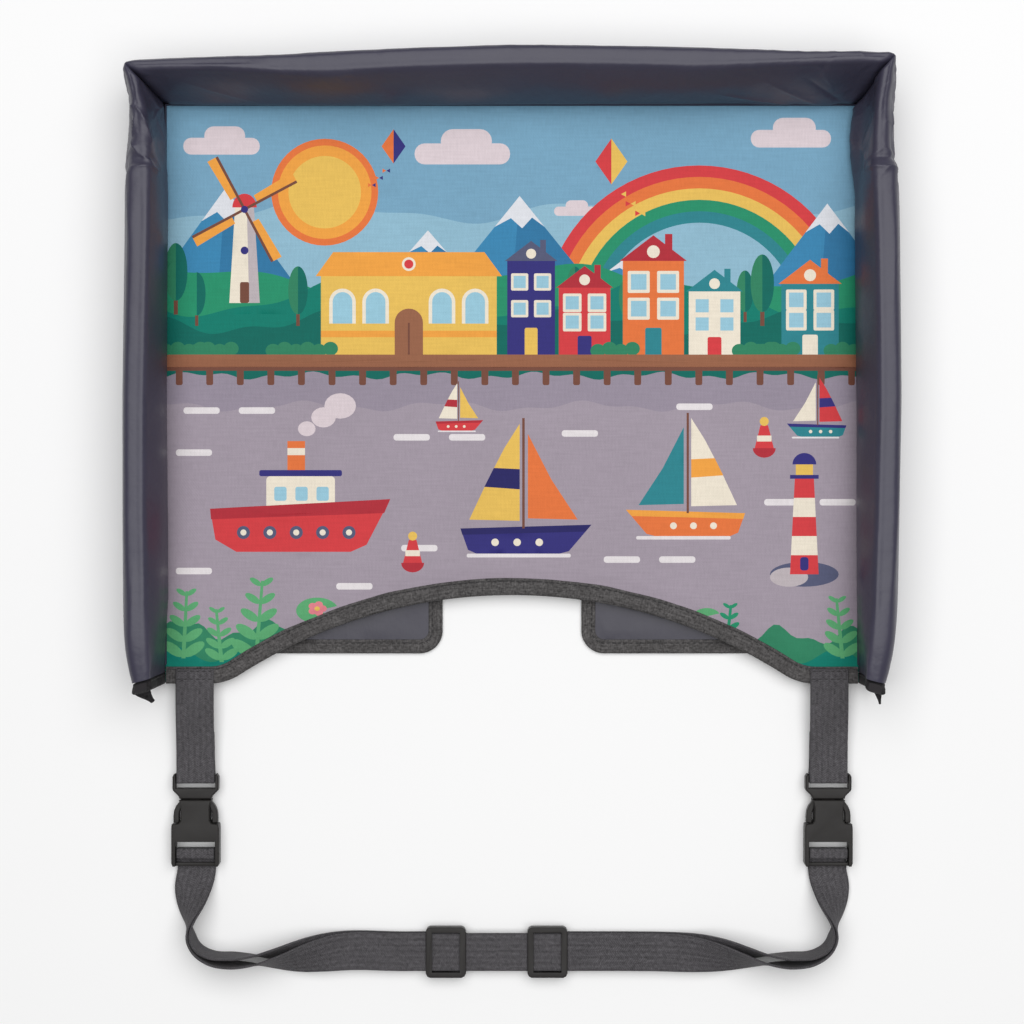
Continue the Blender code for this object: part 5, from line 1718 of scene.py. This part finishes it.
def rounded(points, radius, steps=6):
    """A path with its corners rounded."""
    points = np.array(points, float)
    path = [points[0]]
    for before, corner, after in zip(points, points[1:], points[2:]):
        back, ahead = before - corner, after - corner
        reach = min(np.linalg.norm(back), np.linalg.norm(ahead)) * 0.5
        back, ahead = unit(back), unit(ahead)
        turn = np.arccos(np.clip(np.dot(back, ahead), -1, 1))
        cut = min(radius / np.tan(turn / 2), reach)
        path += [corner + back * cut * (1 - t) ** 2 + ahead * cut * t ** 2
                 for t in np.arange(steps + 1) / steps]
    return np.array(path + [points[-1]])


def stations_in_plane(path, origin, ahead, across):
    """Stations of a path in an upright plane; its places are (distance ahead, height)."""
    origin, ahead, across = (np.array(v, float) for v in (origin, ahead, across))
    ways = unit(np.gradient(path, axis=0))
    return [(origin + ahead * far + UP * z, across, ahead * rise - UP * run)
            for (far, z), (run, rise) in zip(path, ways)]


print("ribbon helpers ready")

# %% Front straps
STRAP_X = 166 * MM
SWING_Y = FRONT_Y - 0.8 * MM
MOUTH_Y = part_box("left_buckle_female")[1].y
MALE_BAR_Y = MOUTH_Y + 9.9 * MM
MALE_BAR_END_Y = MALE_BAR_Y + 1.7 * MM
MALE_END_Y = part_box("left_buckle_male")[1].y
BUCKLE_Z = 4.6 * MM
MALE_BAR_HEIGHT = 2.6 * MM
ANCHOR_Z = BINDING_TOP + 0.3 * MM + STRAP_THICK / 2
ANCHOR_LENGTH = 8.6 * MM
STRAP_FLAT = 9 * MM
STRAP_EASE = 30 * MM
STRAP_TAIL = 24 * MM
STATION_STEP = 1.6 * MM
LAYER_STEP = 1.6 * MM


def strap_stations(side):
    """From the sewn end, down to the buckle's bar, round it and back underneath."""
    over = BUCKLE_Z + MALE_BAR_HEIGHT / 2 + WRAP
    under = BUCKLE_Z - MALE_BAR_HEIGHT / 2 - WRAP
    turn_y = MALE_BAR_Y - WRAP

    def height(y):
        return mix(ANCHOR_Z, over, ease((SWING_Y - STRAP_FLAT - y) / STRAP_EASE))
    down = [(y, height(y)) for y in np.arange(SWING_Y + ANCHOR_LENGTH, MALE_END_Y, -STATION_STEP)]
    turn = rounded([(MALE_BAR_END_Y, over), (turn_y, over), (turn_y, under), (MALE_BAR_END_Y, under)],
                   WRAP, 7)
    back = []
    for y in MALE_BAR_END_Y + STRAP_TAIL * np.arange(1, 15) / 14:
        apart = 1 - ease((y - MALE_BAR_END_Y) / (STRAP_TAIL / 2))
        back.append((y, height(y) - LAYER_STEP - (over - under - LAYER_STEP) * apart))
    return stations_in_plane(np.concatenate([down, turn, back]), (side * STRAP_X, 0, 0), (0, 1, 0), (1, 0, 0))


def make_strap(word, side):
    strap = ribbon(f"{word}_strap_webbing", strap_stations(side))
    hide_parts(f"{word}_front_strap", f"{word}_strap_anchor")
    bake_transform(strap)
    return strap


straps = [make_strap(word, side) for word, side in SIDES]
print("straps:", [len(strap.data.polygons) for strap in straps], "faces")

# %% [markdown]
# ### The waist belt
#
# The belt leaves each buckle flat, turns on its edge through the curve, and lies flat
# again across the front. Its returning layer runs underneath to the slider, where its end
# is sewn round the bar. The route is a smooth curve through a few points, given as shares
# of the strap's place and of the way down, so that it follows the frame's sizes.

# %% Belt route
FLOOR_GAP = 0.25 * MM
LOW_Z = FLOOR_GAP + STRAP_THICK / 2
FEMALE_END_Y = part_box("left_buckle_female")[0].y
EXIT_Y = FEMALE_END_Y - 1.4 * MM
EXIT_Z = 2.4 * MM
BELT_Y = -326.4 * MM
BELT_Z = 5.35 * MM
TWIST_IN = 38 * MM
TWIST_HOLD = 24 * MM
TWIST_OUT = 71 * MM
SPREAD = 28 * MM
BELT_STATIONS = 190
BELT_ROUTE = [(1.0, 0.0), (1.014, 0.27), (1.024, 0.55), (1.018, 0.79), (0.994, 0.97),
              (0.946, 1.09), (0.886, 1.13), (0.807, 1.125), (0.723, 1.09), (0.602, 1.03),
              (0.482, 1.0), (0.361, 1.0), (0.180, 1.0), (0.0, 1.0)]


def belt_route():
    """The right half of the belt's centre line, seen from above."""
    points = np.array([(x * STRAP_X, mix(EXIT_Y, BELT_Y, y)) for x, y in BELT_ROUTE])
    first = (points[1][0], 2 * points[0][1] - points[1][1])
    knots = np.vstack([[first], points, [2 * points[-1] - points[-2]]])
    route = [0.5 * (2 * b + (c - a) * t + (2 * a - 5 * b + 4 * c - d) * t * t
                    + (3 * b - a - 3 * c + d) * t ** 3)
             for a, b, c, d in zip(knots, knots[1:], knots[2:], knots[3:])
             for t in np.linspace(0, 1, 24, endpoint=False)]
    return resample(np.array(route + [points[-1]]), BELT_STATIONS)


def belt_stations():
    """Stations of the right half: the upper layer, and the gap to the layer below."""
    route = belt_route()
    ways = unit(np.gradient(route, axis=0))
    ways[0] = (0.0, -1.0)
    ways[-1] = (-1.0, 0.0)
    stations = []
    for (x, y), way, run in zip(route, ways, run_of(route)):
        turn = pi / 2 * (ease(run / TWIST_IN) - ease((run - TWIST_IN - TWIST_HOLD) / TWIST_OUT))
        apart = mix(EXIT_Z - LOW_Z, BELT_Z - LOW_Z, ease((run - TWIST_IN) / SPREAD))
        out = np.array((-way[1], way[0], 0.0))
        z = FLOOR_GAP + STRAP_WIDTH / 2 * sin(turn) + (STRAP_THICK / 2 + apart) * cos(turn)
        stations.append((np.array((x, y, z)), out * cos(turn) - UP * sin(turn),
                         UP * cos(turn) + out * sin(turn), apart))
    return stations


belt_half = belt_stations()
print("belt half:", len(belt_half), "stations")

# %% Belt and its returning layers
MID_BAR_Y = MOUTH_Y - 27.0 * MM
END_SLOT_Y = MID_BAR_Y - 2.7 * MM
MID_BAR_HEIGHT = 2.4 * MM
SLIDER_BAR = 3.0 * MM
SLIDER_BAR_TOP = 3.0 * MM
SLIDER_TAIL = 12 * MM
SLIDER_X = {"left": 34.7 * MM, "right": 18.6 * MM}
WAVE_HEIGHT = 1.3 * MM


def mirrored(stations, side):
    """Stations of the right half, or their mirror image for the left, each a little wavy."""
    flip = np.array((side, 1.0, 1.0))
    placed = []
    for centre, across, face in (station[:3] for station in stations):
        x = abs(centre[0])
        loose = ease((x - 48 * MM) / (20 * MM)) * (1 - ease((x - 138 * MM) / (20 * MM)))
        wave = WAVE_HEIGHT * loose * wobble(x, side, 0, 0.034, 4.0 + side)
        placed.append(((centre + across * (1, 1, 0) * wave) * flip, across * flip, face * flip))
    return placed


def buckle_loop():
    near = MID_BAR_Y + WRAP
    far = END_SLOT_Y - WRAP
    over = BUCKLE_Z + MID_BAR_HEIGHT / 2 + WRAP
    path = rounded([(EXIT_Y, LOW_Z), (near, LOW_Z), (near, over), (far, over), (far, EXIT_Z),
                    (EXIT_Y, EXIT_Z)], WRAP)
    return stations_in_plane(path, (STRAP_X, 0, 0), (0, 1, 0), (1, 0, 0))


def slider_loop(slider):
    far = SLIDER_BAR / 2 + WRAP
    over = SLIDER_BAR_TOP + WRAP
    tail_z = LOW_Z + LAYER_STEP
    path = rounded([(SLIDER_TAIL + far, LOW_Z), (-far, LOW_Z), (-far, over), (far, over),
                    (far + over - tail_z, tail_z), (SLIDER_TAIL, tail_z)], WRAP)
    return stations_in_plane(path, (slider, BELT_Y, 0), (1, 0, 0), (0, -1, 0))


def make_belt():
    half = buckle_loop() + belt_half[1:]
    belt = ribbon("waist_belt", mirrored(half, -1) + mirrored(half, 1)[-2::-1])
    return dress(belt, "belt", "webbing", "belt_webbing")


def make_return(word, side):
    start = SLIDER_X[word] + SLIDER_TAIL + SLIDER_BAR / 2 + WRAP
    inner = [(c - f * apart, a, f) for c, a, f, apart in belt_half if c[0] > start + STRAP_THICK]
    layer = ribbon(f"{word}_return_layer", mirrored(inner + slider_loop(SLIDER_X[word]), side))
    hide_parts(f"{word}_return_webbing")
    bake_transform(layer)
    return layer


belt_pieces = [make_belt()] + [make_return(word, side) for word, side in SIDES]
print("belt and returns:", [len(piece.data.polygons) for piece in belt_pieces], "faces")

# %% [markdown]
# ## Buckles and sliders
#
# The hard pieces already have their true shape in the frame, so each is a copy of it: its
# loose triangles are merged, flat faces are joined and every sharp edge gets a small
# moulded radius. A live bevel modifier would do, but a baked one keeps the piece plain.

# %% Moulded pieces
MOULD_RADIUS = 0.35 * MM
SLIDER_RADIUS = 0.75 * MM
SHARP_EDGE = 30
WELD = 1e-6


def moulded(name, body, radius=MOULD_RADIUS):
    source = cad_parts[name]
    work = bmesh.new()
    work.from_mesh(source.data)
    work.transform(source.matrix_world)
    bmesh.ops.remove_doubles(work, verts=work.verts, dist=WELD)
    bmesh.ops.dissolve_limit(work, angle_limit=radians(1), verts=work.verts, edges=work.edges)
    sharp = [e for e in work.edges if e.is_manifold and e.calc_face_angle() > radians(SHARP_EDGE)]
    bmesh.ops.bevel(work, geom=sharp, offset=radius, segments=3, profile=0.5, affect="EDGES",
                    clamp_overlap=True)
    mesh = bpy.data.meshes.new(f"{name}_moulded")
    work.to_mesh(mesh)
    work.free()
    mesh.materials.append(finish["plastic"])
    mesh.shade_smooth()
    mesh.set_sharp_from_angle(angle=radians(SMOOTH_ANGLE))
    return dress(add_object(f"{name}_moulded", mesh), body, "buckle_plastic", name)


for word, _ in SIDES:
    moulded(f"{word}_buckle_male", "straps")
    for place in ("outer", "inner"):
        moulded(f"{word}_buckle_prong_{place}", f"{word}_{place}_prong")
    moulded(f"{word}_buckle_female", "belt")
    moulded(f"{word}_slider", f"{word}_slider", SLIDER_RADIUS)

# %% [markdown]
# ## The underside and the foam pad
#
# Underneath is one dark cloth, boxed round the foam: it steps up where the pad ends, so
# that the flaps have room. Seen from below it is a height map, so it is cut flat from the
# same outline and lifted, with a soft roll at its edges and a few loose waves.

# %% Underside
BOTTOM_CLOTH = 1.0 * MM
FOAM_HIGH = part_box("lap_foam")[1].z
FRONT_PLATE_Z = FOAM_HIGH - BOTTOM_CLOTH
BOARD_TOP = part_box("bottom_panel")[1].z
RIM = 0.8 * MM
RAMP = 0.15 * MM
TAPE_WEB = 1.3 * MM
UNDERSIDE_STEP = 2.5 * MM
ROLL_HEIGHT = 0.9 * MM
ROLL_WIDTH = 1.4 * MM
LOOSE_HEIGHT = 0.27 * MM
LOOSE_REACH = 10 * MM
THINNEST = 0.3 * MM
PAD_GAP = 0.1 * MM
PAD_INSET = 0.3 * MM
PAD_ROUND = 0.5 * MM
PAD_ROUND_REACH = 4 * MM


def shelf(y, edge):
    """1 on the lap pad, 0 in front of it."""
    return np.clip((y - edge) / RAMP, 0, 1)


def make_underside():
    cuts = [panel_outline(TAPE_WEB + gap, gap, UNDERSIDE_STEP) for gap in (0, RIM, RIM + RAMP)]
    half, back_y = HALF_W + MM, BACK_Y + MM
    for gap in (0, RAMP, 1.5 * MM, 3 * MM, RIM, RIM + RAMP):
        cuts.append([(-half, STEP_Y + gap), (half, STEP_Y + gap), (half, back_y), (-half, back_y)])
    places, tiles, _ = cut_cloth(cuts, 5 * MM)
    y = places[:, 1]
    side = np.minimum(HALF_W - np.abs(places[:, 0]), BACK_Y - y)
    border = edge_distance(places, np.array(cuts[0][:-2] + [(-HALF_W, BACK_Y), (HALF_W, BACK_Y)]))
    near = np.minimum(side, border)
    step_near = np.minimum(near, np.abs(y - STEP_Y))
    roll = ROLL_HEIGHT * np.exp(-step_near / ROLL_WIDTH)
    swell = np.clip(0.5 + waves(places, 0.03, 12.0), 0, 1)
    loose = LOOSE_HEIGHT * swell * ease(step_near / LOOSE_REACH)
    low = mix(FRONT_PLATE_Z, 0.0, shelf(y, STEP_Y)) + roll * shelf(y, STEP_Y) + loose
    plate = mix(FOAM_HIGH, BOTTOM_CLOTH, shelf(y, STEP_Y + RIM))
    high = np.maximum(np.where(near < RIM + RAMP / 2, BOARD_TOP, plate), low + THINNEST)
    panel = plate_between("underside_cloth", places, tiles, low, high, finish["lining"], angle=50)
    dress(panel, "tray", "underside_cloth", "bottom_panel")
    return panel


def make_lap_foam():
    low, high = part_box("lap_foam")
    x0, y0, x1, y1 = low.x + PAD_INSET, low.y + PAD_INSET, high.x - PAD_INSET, high.y - PAD_INSET
    places, tiles, _ = cut_cloth([[(x0, y0), (x1, y0), (x1, y1), (x0, y1)]], 12 * MM)
    edge = np.minimum(places - np.array(low.xy), np.array(high.xy) - places).min(axis=1)
    soft = PAD_ROUND * np.exp(-edge / PAD_ROUND_REACH) + PAD_GAP
    pad = plate_between("lap_pad", places, tiles, low.z + soft, high.z - soft, finish["foam"])
    dress(pad, "tray", "foam", "lap_foam")
    return pad


under_pieces = [make_underside(), make_lap_foam()]
print("underside and pad:", [len(piece.data.polygons) for piece in under_pieces], "faces")

# %% [markdown]
# ## Stitches
#
# Sewing is the same small thing hundreds of times, which is what Geometry Nodes are for: a
# seam is a bare line, the tree spaces points along it, and each point gets one short
# thread lying along the seam. Pitch, length and thread are named inputs, so another size
# of stitch needs no new tree. The result is kept as a plain mesh, one for each body.

# %% Stitch tree
STITCH = {"Pitch": 3.0 * MM, "Length": 2.1 * MM, "Thread": 0.7 * MM}


def make_stitch_tree():
    tree = bpy.data.node_groups.new("stitches", "GeometryNodeTree")
    sockets = [("Geometry", "INPUT", "NodeSocketGeometry")]
    sockets += [(label, "INPUT", "NodeSocketFloat") for label in STITCH]
    for label, way, kind in sockets + [("Geometry", "OUTPUT", "NodeSocketGeometry")]:
        tree.interface.new_socket(name=label, in_out=way, socket_type=kind)
    given = tree.nodes.new("NodeGroupInput").outputs

    def step(kind, result, inputs=(), **settings):
        return add_node(tree, kind, inputs, **settings).outputs[result]
    curve = step("GeometryNodeMeshToCurve", "Curve", {"Mesh": given["Geometry"]})
    spaced = step("GeometryNodeResampleCurve", "Curve", {"Curve": curve, "Length": given["Pitch"]},
                  mode="LENGTH")
    tangent = step("GeometryNodeInputTangent", "Tangent")
    turn = step("FunctionNodeAlignRotationToVector", "Rotation", {"Vector": tangent}, axis="X")
    grain = step("GeometryNodeMeshUVSphere", "Mesh", {"Segments": 6, "Rings": 4, "Radius": 0.5})
    size = step("ShaderNodeCombineXYZ", "Vector", {
        "X": given["Length"], "Y": given["Thread"], "Z": given["Thread"]})
    placed = step("GeometryNodeInstanceOnPoints", "Instances", {
        "Points": spaced, "Instance": grain, "Rotation": turn, "Scale": size})
    real = step("GeometryNodeRealizeInstances", "Geometry", {"Geometry": placed})
    dressed = step("GeometryNodeSetMaterial", "Geometry", {"Geometry": real, "Material": finish["thread"]})
    add_node(tree, "NodeGroupOutput", {"Geometry": dressed})
    return tree


stitch_tree = make_stitch_tree()
stitch_inputs = {item.name: item.identifier for item in stitch_tree.interface.items_tree
                 if item.in_out == "INPUT"}


def sew(name, body, seams):
    """Sews every seam of a body; a seam is a list of points."""
    verts = []
    edges = []
    for seam in seams:
        first = len(verts)
        verts += [tuple(p) for p in seam]
        edges += [(i, i + 1) for i in range(first, len(verts) - 1)]
    line = bpy.data.meshes.new(name)
    line.from_pydata(verts, edges, [])
    made = add_object(name, line)
    modifier = made.modifiers.new("stitches", "NODES")
    modifier.node_group = stitch_tree
    for label, value in STITCH.items():
        modifier[stitch_inputs[label]] = value
    done = bpy.data.meshes.new_from_object(made.evaluated_get(bpy.context.evaluated_depsgraph_get()))
    made.modifiers.remove(modifier)
    made.data = done
    done.name = name
    return dress(made, body, "binding_tape")


print("stitch inputs:", sorted(stitch_inputs))

# %% Seams
BINDING_SEAM_Z = (8.28 * MM, BINDING_LOW + 0.02 * MM)
FLAP_SEAM_Z = (2.08 * MM, 0.26 * MM)
ANCHOR_ROWS = (3.4 * MM, 7.6 * MM)
ANCHOR_HALF = 8 * MM
UNDERSIDE_SEAM_Z = 0.12 * MM
UNDERSIDE_SEAM_INSET = 5 * MM
STEP_SEAM_INSET = 4 * MM
END_TAPE_SEAM_INSET = 0.45 * MM
END_TAPE_SEAM_LOW = 3 * MM


def binding_seam(z):
    """A seam along the front edge, where the straps don't cover it."""
    points, outs = front_edge(HALF_W - 3 * MM)
    line = points - outs * SEAM_SETBACK
    open_places = np.abs(np.abs(line[:, 0]) - STRAP_X) > STRAP_WIDTH / 2 + MM
    runs = np.split(np.arange(len(line)), np.nonzero(np.diff(open_places.astype(int)))[0] + 1)
    return [[(x, y, z) for x, y in line[run]] for run in runs if open_places[run[0]] and len(run) > 3]


def anchor_seams(side):
    """Two rows of stitches that hold the strap's end on the binding."""
    top = ANCHOR_Z + STRAP_THICK / 2
    return [[(side * STRAP_X + x, SWING_Y + y, top) for x in (-ANCHOR_HALF, 0, ANCHOR_HALF)]
            for y in ANCHOR_ROWS]


def underside_seam():
    half, back = HALF_W - UNDERSIDE_SEAM_INSET, BACK_Y - UNDERSIDE_SEAM_INSET
    step = STEP_Y + STEP_SEAM_INSET
    corners = ((-half, step), (-half, back), (half, back), (half, step), (-half, step))
    return [[(x, y, UNDERSIDE_SEAM_Z) for x, y in corners]]


def flap_seams(word):
    points, outs = flap_outline(word)
    return [[(x, y, z) for x, y in points - outs * FLAP_SEAM] for z in FLAP_SEAM_Z]


def end_tape_seams(word, side):
    z = np.linspace(END_TAPE_SEAM_LOW, TAIL_Z, 20)
    y = SIDE_FRONT_Y - TAPE_DEPTH * 0.25
    half = TAPE_HALF - END_TAPE_SEAM_INSET
    return [at_lip(TAPE_MIDDLE + face * half, y, z, word, side) for face in (-1, 1)]


tray_seams = [seam for z in BINDING_SEAM_Z for seam in binding_seam(z)]
tray_seams += anchor_seams(-1) + anchor_seams(1) + underside_seam()
sewn = [sew("tray_stitches", "tray", tray_seams)]
for word, side in SIDES:
    sewn.append(sew(f"{word}_flap_stitches", f"{word}_flap", flap_seams(word)))
    sewn.append(sew(f"{word}_wall_stitches", f"{word}_wall", end_tape_seams(word, side)))
print("stitch faces:", [len(piece.data.polygons) for piece in sewn])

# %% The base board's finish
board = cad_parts["base_board"].data.materials
board.clear()
board.append(finish["board"])
